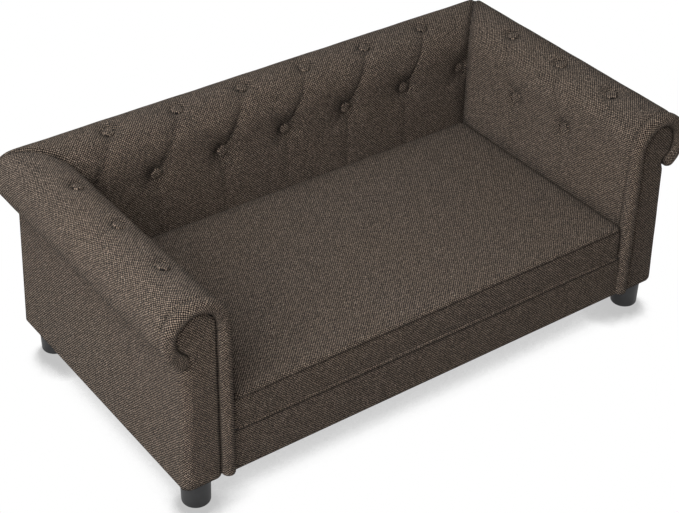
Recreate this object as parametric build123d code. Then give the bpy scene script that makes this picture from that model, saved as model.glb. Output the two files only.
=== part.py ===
from build123d import *
import math
import os

# A low scroll-arm sofa bed for a dog: a timber base on four round legs carries two arms
# and a back with rolled tops, all padded, quilted with covered buttons and closed with
# fabric covers. A loose box cushion lies between the arms and lifts straight out.
# Millimetres. X runs across the seat, -Y is the open front, +Z is up. The origin is on
# the floor under the middle of the sofa's bounding box.

# Driving sizes of the sofa
body_width = 950.0
body_depth = 512.0
leg_height = 50.0
leg_diameter = 48.0
roll_radius = 56.0
roll_overhang = 32.0
roll_centre_height = 337.0
seat_height = 129.0

# Padding, boards and fabric
cover_thickness = 2.0
quilt_thickness = 16.0
foam_thickness = 6.0
board_thickness = 9.0
rail_height = 30.0
deck_thickness = 12.0
deck_cloth_thickness = 1.5
base_rail_thickness = 18.0
seat_gap = 0.3

# Front of the arms and of the seat
border_width = 22.0
border_proud = 12.0
facing_thickness = 12.0
facing_edge_radius = 3.0
curl_cut_back = 5.0
rail_cover_proud = 2.0

# Seat cushion
cushion_height = 62.0
cushion_crown = 8.0
cushion_clearance = 1.0
cushion_proud = 3.0
cushion_corner_radius = 14.0
cushion_shoulder = 9.0
cushion_draw_in = 3.0
boxing_thickness = 9.0
welt_height = 4.0
welt_round = 1.4

# Zip in the rear band of the cushion
zip_end_gap = 94.0
zip_channel_height = 16.0
zip_channel_depth = 6.0
zip_tape_thickness = 1.5
zip_slider_length = 12.0
zip_slider_width = 8.0
zip_slider_thickness = 3.0
zip_clearance = 0.3

# Buttons and pleats
button_diameter = 19.0
button_height = 6.5
button_dome_height = 4.5
corner_button_gap = 11.0
dimple_depth = 7.0
deep_dimple_depth = 11.0
dimple_floor_radius = 10.0
dimple_flare_share = 1.0
back_top_buttons = 6
arm_top_buttons = 3
lower_button_drop = 35.0
top_button_lean = 14.0
arm_first_button_setback = 105.0
arm_last_button_gap = 71.0
pleat_half_width = 9.0
pleat_depth = 8.0
pleat_end_depth = 4.0
fall_pleat_depth = 3.0
arm_pleat_depth = 2.5

# Base frame, leg fixings and bolts
block_side = 50.0
leg_inset = 27.0
front_leg_setback = 26.0
rear_leg_setback = 30.0
leg_chamfer = 2.0
leg_taper = 1.0
stud_diameter = 8.0
stud_grip_in_leg = 30.0
stud_reach = 22.0
tee_nut_barrel_diameter = 10.0
tee_nut_barrel_length = 10.0
tee_nut_flange_diameter = 20.0
tee_nut_flange_thickness = 1.5
bearer_spacing = 200.0
bearer_height = 40.0
bearer_count = 3
bolt_diameter = 6.0
bolt_head_diameter = 12.0
bolt_head_height = 4.0
bolt_grip = 25.0
bolt_spacing = 240.0
scroll_board_thickness = 12.0

# Overruns of cutting tools past the faces that they cut
overrun = 4.0

# Main planes and centres, worked out from the sizes above
overall_depth = border_proud + body_depth + roll_overhang
front_y = -overall_depth / 2 + border_proud
back_y = front_y + body_depth
outer_x = body_width / 2
wall_thickness = 2 * roll_radius - roll_overhang
inner_x = outer_x - wall_thickness
inner_y = back_y - wall_thickness
roll_x = inner_x + roll_radius
roll_y = inner_y + roll_radius
structure_y = front_y + facing_thickness
base_bottom = leg_height + cover_thickness
deck_top = seat_height - seat_gap - deck_cloth_thickness
deck_bottom = deck_top - deck_thickness
outer_board_v = wall_thickness - cover_thickness
inner_board_v = quilt_thickness + foam_thickness
cavity_start_v = inner_board_v + board_thickness
cavity_end_v = outer_board_v - board_thickness
quilt_roll_radius = roll_radius - quilt_thickness
timber_x = inner_x + outer_board_v
timber_back_y = inner_y + outer_board_v


def drop_on_roll(radius, v):
    """How far below the roll's centre a circle of this radius crosses depth v of the wall."""
    return math.sqrt(radius**2 - (v - roll_radius) ** 2)


def block(x0, x1, y0, y1, z0, z1):
    """A box between two opposite corners."""
    centre = Pos((x0 + x1) / 2, (y0 + y1) / 2, (z0 + z1) / 2)
    return centre * Box(abs(x1 - x0), abs(y1 - y0), abs(z1 - z0))


def arm_block(v0, v1, y0, y1, z0, z1):
    """A box in the right arm, whose depth v runs outwards from the arm's seat side."""
    return block(inner_x + v0, inner_x + v1, y0, y1, z0, z1)


def back_block(x0, x1, v0, v1, z0, z1):
    """A box in the back, whose depth v runs outwards from the back's seat side."""
    return block(x0, x1, inner_y + v0, inner_y + v1, z0, z1)


def left_of(right_piece):
    """The left arm's copy of a piece of the right arm."""
    return mirror(right_piece, about=Plane.YZ)


def rod(x, y, z0, z1, diameter):
    """An upright round bar."""
    return Pos(x, y, (z0 + z1) / 2) * Cylinder(diameter / 2, z1 - z0)


def at_four_corners(maker):
    """One piece from maker(x, y, sx, sy) at each leg, with the signs of its corner."""
    places = []
    for side in (-1, 1):
        places.append(maker(side * (outer_x - leg_inset), front_y + front_leg_setback, side, -1))
        places.append(maker(side * (outer_x - leg_inset), back_y - rear_leg_setback, side, 1))
    return places


# Mitre between the arm's roll and the back's roll, from the inner corner to the outer one
mitre_right = Plane(origin=(inner_x, inner_y, 0), z_dir=(1, -1, 0))
mitre_left = Plane(origin=(-inner_x, inner_y, 0), z_dir=(-1, -1, 0))


def along_arm(section, y_start):
    """The right arm's section pulled from y_start to the mitre with the back."""
    plane = Plane(origin=(inner_x, inner_y + 2 * roll_radius, 0), x_dir=(1, 0, 0), z_dir=(0, -1, 0))
    bar = extrude(plane * section, amount=inner_y + 2 * roll_radius - y_start)
    return split(bar, bisect_by=mitre_right, keep=Keep.TOP)


def along_back(section):
    """The back's section pulled from the left mitre to the right one."""
    reach = inner_x + 2 * roll_radius
    plane = Plane(origin=(-reach, inner_y, 0), x_dir=(0, 1, 0), z_dir=(1, 0, 0))
    bar = extrude(plane * section, amount=2 * reach)
    bar = split(bar, bisect_by=mitre_right, keep=Keep.BOTTOM)
    return split(bar, bisect_by=mitre_left, keep=Keep.BOTTOM)


def quilt_section():
    """Section of the quilted cover: up the seat side, over the roll and under it."""
    foot = deck_top
    centre = roll_centre_height
    outer_end = centre - drop_on_roll(roll_radius, outer_board_v)
    inner_end = centre - drop_on_roll(quilt_roll_radius, outer_board_v)
    outline = [
        Line((0, foot), (0, centre)),
        ThreePointArc((0, centre), (roll_radius, centre + roll_radius), (outer_board_v, outer_end)),
        Line((outer_board_v, outer_end), (outer_board_v, inner_end)),
        ThreePointArc(
            (outer_board_v, inner_end),
            (roll_radius, centre + quilt_roll_radius),
            (quilt_thickness, centre),
        ),
        Line((quilt_thickness, centre), (quilt_thickness, foot)),
        Line((quilt_thickness, foot), (0, foot)),
    ]
    return make_face(outline)


def roll_foam_section():
    """Section of the foam roll, which sits on the boards and hangs over the outer one."""
    centre = roll_centre_height
    end = centre - drop_on_roll(quilt_roll_radius, outer_board_v)
    outline = [
        ThreePointArc(
            (quilt_thickness, centre),
            (roll_radius, centre + quilt_roll_radius),
            (outer_board_v, end),
        ),
        Line((outer_board_v, end), (outer_board_v, centre)),
        Line((outer_board_v, centre), (quilt_thickness, centre)),
    ]
    return make_face(outline)


# Places on the quilted face are given by u along the wall and by the climb s up the face
# and over the roll, from the level of the lower buttons
lower_button_height = roll_centre_height - lower_button_drop
top_button_angle = math.acos(top_button_lean / roll_radius)
top_button_climb = lower_button_drop + roll_radius * top_button_angle
fall_climb = deck_top - lower_button_height


def face_point(to_world, u, s, lift, side_step=0.0):
    """A point lifted off the quilted face, and side_step further up along the climb."""
    angle = max(0.0, (s - lower_button_drop) / roll_radius)
    flat = min(s, lower_button_drop)
    v = roll_radius * (1 - math.cos(angle)) - lift * math.cos(angle) + side_step * math.sin(angle)
    z = lower_button_height + flat + (roll_radius + lift) * math.sin(angle)
    return to_world(u, v, z + side_step * math.cos(angle))


def on_back(u, v, z):
    """World place of a point of the back."""
    return (u, inner_y + v, z)


def on_right_arm(u, v, z):
    """World place of a point of the right arm."""
    return (inner_x + v, u, z)


def pleat_tool(to_world, start, end, start_depth, end_depth):
    """The V-shaped groove of one pleat between two (u, s) places on the face."""
    run_u, run_s = end[0] - start[0], end[1] - start[1]
    length = math.hypot(run_u, run_s)
    across_u, across_s = run_s / length, -run_u / length
    bend = (lower_button_drop - start[1]) / run_s
    shares = [0, bend, bend + (1 - bend) / 4, (1 + bend) / 2, 1 - (1 - bend) / 4, 1]
    if not 0 < bend < 1:
        shares = [0, 1]
    sections = []
    for share in shares:
        u, s = start[0] + share * run_u, start[1] + share * run_s
        depth = start_depth + share * (end_depth - start_depth)
        spread = pleat_half_width * (depth + overrun) / depth
        apex = face_point(to_world, u, s, -depth)
        sides = [
            face_point(to_world, u + k * across_u * spread, s, overrun, k * across_s * spread)
            for k in (-1, 1)
        ]
        sections.append(make_face(Polyline(apex, *sides, close=True)))
    return loft(sections, ruled=True)


def button_frame(to_world, u, s, lift):
    """A plane on the face at a button, with its normal pointing off the face."""
    low = Vector(*face_point(to_world, u, s, lift))
    high = Vector(*face_point(to_world, u, s, lift + 1))
    return Plane(origin=low, z_dir=high - low)


def dimple_tool(to_world, u, s, depth):
    """The hollow that a button pulls into the quilting."""
    height = depth + overrun
    mouth = dimple_floor_radius + dimple_flare_share * height
    cone = Cone(dimple_floor_radius, mouth, height, align=(Align.CENTER, Align.CENTER, Align.MIN))
    return button_frame(to_world, u, s, -depth) * cone


def button(to_world, u, s, depth):
    """A domed button covered in fabric, seated on the floor of its dimple."""
    disc = Cylinder(button_diameter / 2, button_height, align=(Align.CENTER, Align.CENTER, Align.MIN))
    disc = fillet(disc.edges().sort_by(Axis.Z)[-1], button_dome_height)
    return button_frame(to_world, u, s, -depth) * disc


back_pitch = 2 * (inner_x - corner_button_gap) / back_top_buttons
back_top_places = [
    ((i - (back_top_buttons - 1) / 2) * back_pitch, top_button_climb)
    for i in range(back_top_buttons)
]
back_lower_places = [
    ((i - back_top_buttons / 2) * back_pitch, 0.0) for i in range(back_top_buttons + 1)
]
first_arm_button_y = front_y + arm_first_button_setback
arm_pitch = (inner_y - arm_last_button_gap - first_arm_button_y) / (arm_top_buttons - 1)
arm_top_places = [
    (first_arm_button_y + i * arm_pitch, top_button_climb) for i in range(arm_top_buttons)
]
arm_lower_places = [
    (first_arm_button_y + (i + 0.5) * arm_pitch, 0.0) for i in range(arm_top_buttons - 1)
]


def dimple_places(top_places, lower_places, lower_depth):
    """Each button's place with the depth of its dimple."""
    places = [(u, s, dimple_depth) for u, s in top_places]
    return places + [(u, s, lower_depth) for u, s in lower_places]


back_dimples = dimple_places(back_top_places, back_lower_places, deep_dimple_depth)
arm_dimples = dimple_places(arm_top_places, arm_lower_places, dimple_depth)


def quilted(cover, to_world, top_places, lower_places, dimples, depth, end_depth):
    """A quilted cover with its pleats and dimples cut in."""
    pitch = top_places[1][0] - top_places[0][0]
    tools = []
    for u, s in lower_places:
        tools.append(pleat_tool(to_world, (u, s), (u, fall_climb), fall_pleat_depth, fall_pleat_depth))
        for top in top_places:
            if abs(top[0] - u) < pitch:
                tools.append(pleat_tool(to_world, (u, s), top, depth, end_depth))
    for u, s, dimple in dimples:
        tools.append(dimple_tool(to_world, u, s, dimple))
    for tool in tools:
        cover = cover - tool
    return cover


nodes = {}


def leg(x, y, side, end):
    """A round leg with a blind socket for its stud."""
    radius = leg_diameter / 2
    body = Pos(x, y, leg_height / 2) * Cone(radius - leg_taper, radius, leg_height)
    body = chamfer(body.edges().sort_by(Axis.Z)[0], leg_chamfer)
    return body - rod(x, y, leg_height - stud_grip_in_leg, leg_height + overrun, stud_diameter)


# Legs with their studs and tee nuts
leg_names = ("leg_front_left", "leg_rear_left", "leg_front_right", "leg_rear_right")
for name, piece in zip(leg_names, at_four_corners(leg)):
    nodes[name] = piece


def stud(x, y, side, end):
    """A threaded stud, from the leg's socket into the corner block."""
    return rod(x, y, leg_height - stud_grip_in_leg, base_bottom + stud_reach, stud_diameter)


def tee_nut(x, y, side, end):
    """A tee nut let into the underside of the corner block."""
    flange_top = base_bottom + tee_nut_flange_thickness
    nut = rod(x, y, base_bottom, flange_top, tee_nut_flange_diameter)
    nut = nut + rod(x, y, flange_top, flange_top + tee_nut_barrel_length, tee_nut_barrel_diameter)
    return nut - rod(x, y, base_bottom - overrun, base_bottom + stud_reach, stud_diameter)


def corner_block(x, y, side, end):
    """The timber block that a leg screws into."""
    edge_y = structure_y if end < 0 else timber_back_y
    piece = block(
        side * timber_x,
        side * (timber_x - block_side),
        edge_y,
        edge_y - end * block_side,
        base_bottom,
        deck_bottom,
    )
    flange_top = base_bottom + tee_nut_flange_thickness
    piece = piece - rod(x, y, base_bottom - overrun, flange_top, tee_nut_flange_diameter)
    return piece - rod(x, y, base_bottom, base_bottom + stud_reach + overrun, tee_nut_barrel_diameter)


nodes["leg_studs"] = Compound(children=at_four_corners(stud))
nodes["leg_tee_nuts"] = Compound(children=at_four_corners(tee_nut))
nodes["corner_blocks"] = Compound(children=at_four_corners(corner_block))

# Base frame: rails between the corner blocks, bearers and the deck board
rail_end_x = timber_x - block_side
nodes["base_front_rail"] = block(
    -rail_end_x, rail_end_x, structure_y, structure_y + base_rail_thickness, base_bottom, deck_bottom
)
nodes["base_rear_rail"] = block(
    -rail_end_x, rail_end_x, timber_back_y - base_rail_thickness, timber_back_y, base_bottom, deck_bottom
)
nodes["base_side_rail_right"] = block(
    timber_x - base_rail_thickness,
    timber_x,
    structure_y + block_side,
    timber_back_y - block_side,
    base_bottom,
    deck_bottom,
)
nodes["base_side_rail_left"] = left_of(nodes["base_side_rail_right"])
bearers = []
for i in range(bearer_count):
    x = (i - (bearer_count - 1) / 2) * bearer_spacing
    bearers.append(
        block(
            x - base_rail_thickness / 2,
            x + base_rail_thickness / 2,
            structure_y + base_rail_thickness,
            timber_back_y - base_rail_thickness,
            deck_bottom - bearer_height,
            deck_bottom,
        )
    )
nodes["deck_bearers"] = Compound(children=bearers)

# Bolts that hold the arms and the back down on the deck
bolt_x = inner_x + (cavity_start_v + cavity_end_v) / 2
bolt_y = inner_y + (cavity_start_v + cavity_end_v) / 2
bolt_places = [(side * bolt_x, end * bolt_spacing / 2) for side in (-1, 1) for end in (-1, 1)]
bolt_places += [(side * bolt_spacing / 2, bolt_y) for side in (-1, 1)]


def bolt_shank(x, y):
    """The shank of a frame bolt."""
    return rod(x, y, deck_bottom, deck_top + bolt_grip, bolt_diameter)


def bolt(x, y):
    """A frame bolt with its head under the deck."""
    return bolt_shank(x, y) + rod(x, y, deck_bottom - bolt_head_height, deck_bottom, bolt_head_diameter)


def without_bolts(piece):
    """A timber with the holes that the frame bolts pass through."""
    for x, y in bolt_places:
        piece = piece - bolt_shank(x, y)
    return piece


nodes["frame_bolts"] = Compound(children=[bolt(x, y) for x, y in bolt_places])
nodes["deck_board"] = without_bolts(
    block(-timber_x, timber_x, structure_y, timber_back_y, deck_bottom, deck_top)
)

# Timber of the arms
roll_z = roll_centre_height
arm_timber_y = structure_y + scroll_board_thickness
nodes["arm_bottom_rail_right"] = without_bolts(
    arm_block(cavity_start_v, cavity_end_v, arm_timber_y, inner_y + cavity_start_v, deck_top, deck_top + rail_height)
)
nodes["arm_top_rail_right"] = arm_block(
    cavity_start_v, cavity_end_v, arm_timber_y, inner_y + cavity_start_v, roll_z - rail_height, roll_z
)
nodes["arm_inner_board_right"] = arm_block(
    inner_board_v, cavity_start_v, arm_timber_y, inner_y + inner_board_v, deck_top, roll_z
)
nodes["arm_outer_board_right"] = arm_block(
    cavity_end_v, outer_board_v, arm_timber_y, inner_y + cavity_end_v, deck_top, roll_z
)
scroll_plane = Plane(origin=(inner_x, structure_y, 0), x_dir=(1, 0, 0), z_dir=(0, -1, 0))
scroll_face = Pos((quilt_thickness + outer_board_v) / 2, (deck_top + roll_z) / 2) * Rectangle(
    outer_board_v - quilt_thickness, roll_z - deck_top
)
scroll_face = scroll_face + Pos(roll_radius, roll_z) * Circle(quilt_roll_radius)
nodes["arm_scroll_board_right"] = extrude(scroll_plane * scroll_face, amount=-scroll_board_thickness)

# Timber of the back
nodes["back_bottom_rail"] = without_bolts(
    back_block(
        -inner_x - cavity_start_v,
        inner_x + cavity_start_v,
        cavity_start_v,
        cavity_end_v,
        deck_top,
        deck_top + rail_height,
    )
)
nodes["back_top_rail"] = back_block(
    -inner_x - cavity_start_v, inner_x + cavity_start_v, cavity_start_v, cavity_end_v, roll_z - rail_height, roll_z
)
posts = []
for side in (-1, 1):
    post = arm_block(
        cavity_start_v, cavity_end_v, inner_y + cavity_start_v, inner_y + cavity_end_v, deck_top, roll_z
    )
    posts.append(post if side > 0 else left_of(post))
for i in range(bearer_count):
    x = (i - (bearer_count - 1) / 2) * bearer_spacing
    posts.append(
        back_block(
            x - rail_height / 2,
            x + rail_height / 2,
            cavity_start_v,
            cavity_end_v,
            deck_top + rail_height,
            roll_z - rail_height,
        )
    )
nodes["back_posts"] = Compound(children=posts)
nodes["back_inner_board"] = back_block(
    -inner_x - cavity_start_v, inner_x + cavity_start_v, inner_board_v, cavity_start_v, deck_top, roll_z
)
nodes["back_outer_board"] = back_block(
    -timber_x, timber_x, cavity_end_v, outer_board_v, deck_top, roll_z
)

# Foam of the arms, the back and the front rail
nodes["arm_foam_right"] = arm_block(
    quilt_thickness, inner_board_v, arm_timber_y, inner_y + quilt_thickness, deck_top, roll_z
)
nodes["back_foam"] = back_block(
    -inner_x - inner_board_v, inner_x + inner_board_v, quilt_thickness, inner_board_v, deck_top, roll_z
)
nodes["arm_roll_foam_right"] = along_arm(roll_foam_section(), arm_timber_y)
nodes["back_roll_foam"] = along_back(roll_foam_section())
nodes["front_rail_pad"] = block(-inner_x, inner_x, front_y, structure_y, leg_height, deck_top)

# Quilted covers and their buttons
plain_arm_cover = along_arm(quilt_section(), structure_y)
nodes["arm_cover_right"] = quilted(
    plain_arm_cover,
    on_right_arm,
    arm_top_places,
    arm_lower_places,
    arm_dimples,
    arm_pleat_depth,
    arm_pleat_depth,
)
nodes["back_cover"] = quilted(
    along_back(quilt_section()),
    on_back,
    back_top_places,
    back_lower_places,
    back_dimples,
    pleat_depth,
    pleat_end_depth,
)
nodes["back_buttons"] = Compound(children=[button(on_back, *dimple) for dimple in back_dimples])
arm_buttons = [button(on_right_arm, *dimple) for dimple in arm_dimples]
nodes["arm_buttons_right"] = Compound(children=arm_buttons)
nodes["arm_buttons_left"] = Compound(children=[left_of(piece) for piece in arm_buttons])

# Plain outer covers
outer_cover_top = roll_z - drop_on_roll(roll_radius, outer_board_v)
nodes["outer_arm_cover_right"] = arm_block(
    outer_board_v, wall_thickness, structure_y, timber_back_y, leg_height, outer_cover_top
)
nodes["outer_back_cover"] = back_block(
    -outer_x, outer_x, outer_board_v, wall_thickness, leg_height, outer_cover_top
)
nodes["dust_cover"] = block(
    -timber_x, timber_x, structure_y, timber_back_y, leg_height, base_bottom
)
for hole in at_four_corners(stud):
    nodes["dust_cover"] = nodes["dust_cover"] - hole
nodes["deck_cloth"] = block(-inner_x, inner_x, front_y, inner_y, deck_top, deck_top + deck_cloth_thickness)
nodes["front_rail_cover"] = block(
    -inner_x,
    inner_x,
    front_y - rail_cover_proud,
    front_y,
    leg_height,
    deck_top + deck_cloth_thickness,
)

# Facing panel at the front of each arm, inside its border roll
curl_v = wall_thickness - curl_cut_back
curl_top = roll_z - drop_on_roll(roll_radius, curl_v)
facing_face = Pos((border_width + curl_v) / 2, (leg_height + roll_z) / 2) * Rectangle(
    curl_v - border_width, roll_z - leg_height
)
facing_face = facing_face + Pos(roll_radius, roll_z) * Circle(roll_radius - border_width)
facing_face = facing_face + Pos((curl_v + wall_thickness) / 2, (leg_height + curl_top) / 2) * Rectangle(
    wall_thickness - curl_v, curl_top - leg_height
)
facing = extrude(scroll_plane * facing_face, amount=facing_thickness)
outer_edges = facing.edges().filter_by(Axis.Z).group_by(Axis.X)[-1].sort_by(Axis.Y)
nodes["arm_facing_right"] = fillet(outer_edges[0], facing_edge_radius)


def border_section():
    """Section of the border roll: flat sides and a round front, v across and y forwards."""
    radius = border_width / 2
    shoulder = facing_thickness + border_proud - radius
    outline = [
        Line((0, 0), (0, shoulder)),
        ThreePointArc((0, shoulder), (radius, shoulder + radius), (border_width, shoulder)),
        Line((border_width, shoulder), (border_width, 0)),
        Line((border_width, 0), (0, 0)),
    ]
    return make_face(outline)


# Border roll: straight up the seat side of the arm, then round the scroll
border_plane = Plane(origin=(inner_x, structure_y, roll_z), x_dir=(1, 0, 0), z_dir=(0, 0, 1))
border_profile = mirror(border_section(), about=Plane.XZ)
straight = extrude(border_plane * border_profile, amount=-(roll_z - leg_height))
roll_axis = Axis((roll_x, structure_y, roll_z), (0, 1, 0))
curl_turn = 180 + math.degrees(math.acos((curl_v - roll_radius) / roll_radius))
curl = revolve(border_plane * border_profile, axis=roll_axis, revolution_arc=curl_turn)
under_curl = arm_block(
    border_width, curl_v, front_y - border_proud - overrun, structure_y + overrun, leg_height, roll_z
)
nodes["border_roll_right"] = straight + (curl - under_curl)

# Left arm
mirrored_names = (
    "arm_bottom_rail",
    "arm_top_rail",
    "arm_inner_board",
    "arm_outer_board",
    "arm_scroll_board",
    "arm_foam",
    "arm_roll_foam",
    "arm_cover",
    "outer_arm_cover",
    "arm_facing",
    "border_roll",
)
for name in mirrored_names:
    nodes[name + "_left"] = left_of(nodes[name + "_right"])

# Seat cushion: foam core, crowned top, band with a zip channel, base panel and piping
cushion_x = inner_x - cushion_clearance
cushion_front_y = front_y - cushion_proud
cushion_back_y = inner_y - cushion_clearance
cushion_mid_y = (cushion_front_y + cushion_back_y) / 2
zip_length = 2 * (cushion_x - zip_end_gap)
cushion_depth = cushion_back_y - cushion_front_y
band_bottom = seat_height + welt_height
band_top = seat_height + cushion_height - cushion_shoulder
core_inset = boxing_thickness


def cushion_outline(z, inset):
    """The cushion's outline at one level, drawn in by inset."""
    shape = RectangleRounded(
        2 * (cushion_x - inset), cushion_depth - 2 * inset, cushion_corner_radius - inset
    )
    return Pos(0, cushion_mid_y, z) * shape


nodes["cushion_foam"] = block(
    -cushion_x + core_inset,
    cushion_x - core_inset,
    cushion_front_y + core_inset,
    cushion_back_y - core_inset,
    band_bottom,
    band_top,
)
band_levels = [
    (band_bottom, cushion_draw_in),
    ((band_bottom + band_top) / 2, 0),
    (band_top, cushion_draw_in),
]
boxing = loft([cushion_outline(z, inset) for z, inset in band_levels])
zip_z = (band_bottom + band_top) / 2
channel_half = zip_length / 2 + zip_slider_length
boxing = boxing - nodes["cushion_foam"]
channel = block(
    -channel_half,
    channel_half,
    cushion_back_y - zip_channel_depth,
    cushion_back_y + overrun,
    zip_z - zip_channel_height / 2,
    zip_z + zip_channel_height / 2,
)
nodes["cushion_boxing"] = boxing - channel
nodes["cushion_base_panel"] = extrude(cushion_outline(seat_height, cushion_draw_in), amount=welt_height)
piping = extrude(cushion_outline(seat_height, 0), amount=welt_height)
piping = fillet(piping.faces().filter_by(Axis.Z).edges(), welt_round)
nodes["cushion_piping"] = piping - nodes["cushion_base_panel"]


def crown_section(depth_share, rise_share):
    """Upright section of the crowned top at one share of the cushion's depth."""
    half = cushion_x - cushion_draw_in
    rise = cushion_shoulder * min(1.0, 2 * rise_share)
    shoulder_z = band_top + rise
    top_z = shoulder_z + cushion_crown * rise_share
    inner = half - cushion_shoulder
    mid_share = 0.7
    outline = [
        Line((-half, band_top), (half, band_top)),
        ThreePointArc(
            (half, band_top),
            (inner + mid_share * cushion_shoulder, band_top + mid_share * rise),
            (inner, shoulder_z),
        ),
        ThreePointArc((inner, shoulder_z), (0, top_z), (-inner, shoulder_z)),
        ThreePointArc(
            (-inner, shoulder_z),
            (-inner - mid_share * cushion_shoulder, band_top + mid_share * rise),
            (-half, band_top),
        ),
    ]
    y = cushion_front_y + cushion_draw_in + depth_share * (cushion_depth - 2 * cushion_draw_in)
    return Plane(origin=(0, y, 0), x_dir=(1, 0, 0), z_dir=(0, -1, 0)) * make_face(outline)


crown_shares = [
    (0.0, 0.15),
    (0.012, 0.38),
    (0.04, 0.55),
    (0.25, 0.9),
    (0.5, 1.0),
    (0.75, 0.9),
    (0.96, 0.55),
    (0.988, 0.38),
    (1.0, 0.15),
]
nodes["cushion_top_panel"] = loft([crown_section(*pair) for pair in crown_shares], ruled=True)

# Zip tape in the bottom of the channel, with the slider on it
tape_y = cushion_back_y - zip_channel_depth
nodes["zipper_tape"] = block(
    -channel_half,
    channel_half,
    tape_y,
    tape_y + zip_tape_thickness,
    zip_z - zip_channel_height / 2,
    zip_z + zip_channel_height / 2,
)
slider_y = tape_y + zip_tape_thickness + zip_clearance
slider = block(
    zip_length / 2,
    zip_length / 2 + zip_slider_length,
    slider_y,
    slider_y + zip_slider_thickness,
    zip_z - zip_slider_width / 2,
    zip_z + zip_slider_width / 2,
)
nodes["zipper_slider"] = fillet(slider.edges().filter_by(Axis.Y), zip_slider_width / 4)

# Write one file for each piece
os.makedirs("parts", exist_ok=True)
for name, piece in nodes.items():
    export_step(piece, f"parts/{name}.step")
print(len(nodes), "nodes")
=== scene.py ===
"""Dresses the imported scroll-arm sofa bed for a dog in fabric, timber, foam and plastic.

Metres, in the row frame: X runs across the seat, -Y is the open front and +Z is up.
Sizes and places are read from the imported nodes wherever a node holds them.
"""

import logging
import math
from dataclasses import dataclass, field
from enum import Enum
from typing import Any, Callable, Sequence

import bmesh
import bpy
import numpy as np
from mathutils import Matrix, Vector


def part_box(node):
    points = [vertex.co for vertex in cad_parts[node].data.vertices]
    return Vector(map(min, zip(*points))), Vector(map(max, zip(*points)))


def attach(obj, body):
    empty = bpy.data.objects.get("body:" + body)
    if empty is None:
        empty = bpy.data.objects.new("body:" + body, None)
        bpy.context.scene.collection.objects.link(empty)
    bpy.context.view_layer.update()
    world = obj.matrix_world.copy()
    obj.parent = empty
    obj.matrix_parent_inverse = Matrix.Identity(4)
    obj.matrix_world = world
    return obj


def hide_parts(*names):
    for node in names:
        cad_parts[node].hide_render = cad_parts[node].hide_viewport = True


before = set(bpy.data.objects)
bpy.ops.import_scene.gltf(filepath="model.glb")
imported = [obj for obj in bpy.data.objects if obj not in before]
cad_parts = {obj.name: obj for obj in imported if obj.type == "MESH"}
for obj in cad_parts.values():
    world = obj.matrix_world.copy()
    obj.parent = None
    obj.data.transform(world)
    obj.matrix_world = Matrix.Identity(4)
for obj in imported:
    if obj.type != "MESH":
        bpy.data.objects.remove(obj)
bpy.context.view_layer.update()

log = logging.getLogger("sofa_bed")

MM = 0.001
WEAVE_MAP = "weave"
# Vertex attribute of painted shading: it darkens the fabric's colour as painted shade, and lightens it
# where below 0 as a painted highlight.
PAINTED_SHADING = "crease"
BACK_FLARE_SHARE = 0.6
WELD = 0.02 * MM
TINY = 1e-9
PANEL_SHARE = 0.8

Array = np.ndarray
Mesh = bmesh.types.BMesh
Vert = bmesh.types.BMVert
Edge = bmesh.types.BMEdge
Piece = bpy.types.Object
Socket = bpy.types.NodeSocket
Colour = tuple[float, float, float, float]
Placed = tuple[Array, Array, Array]
PlaceRule = Callable[[Array, Array, int], Placed]


class Slot(Enum):
    """The record's material slots."""

    WOVEN = "woven_fabric"
    LINING = "lining"
    FOAM = "foam"
    PINE = "pine"
    PLYWOOD = "plywood"
    PLASTIC = "leg_plastic"
    STEEL = "zinc_steel"
    TAPE = "zip_tape"
    ZIP = "zip_metal"


class Body(Enum):
    """The bodies that pieces ride on."""

    SOFA = "sofa"
    CUSHION = "seat_cushion"
    SLIDER = "zipper_slider"


class Side(Enum):
    """The two arms, by the sign of their X."""

    LEFT = -1
    RIGHT = 1

    @property
    def word(self) -> str:
        """The ending of this arm's node names."""
        return self.name.lower()


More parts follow.
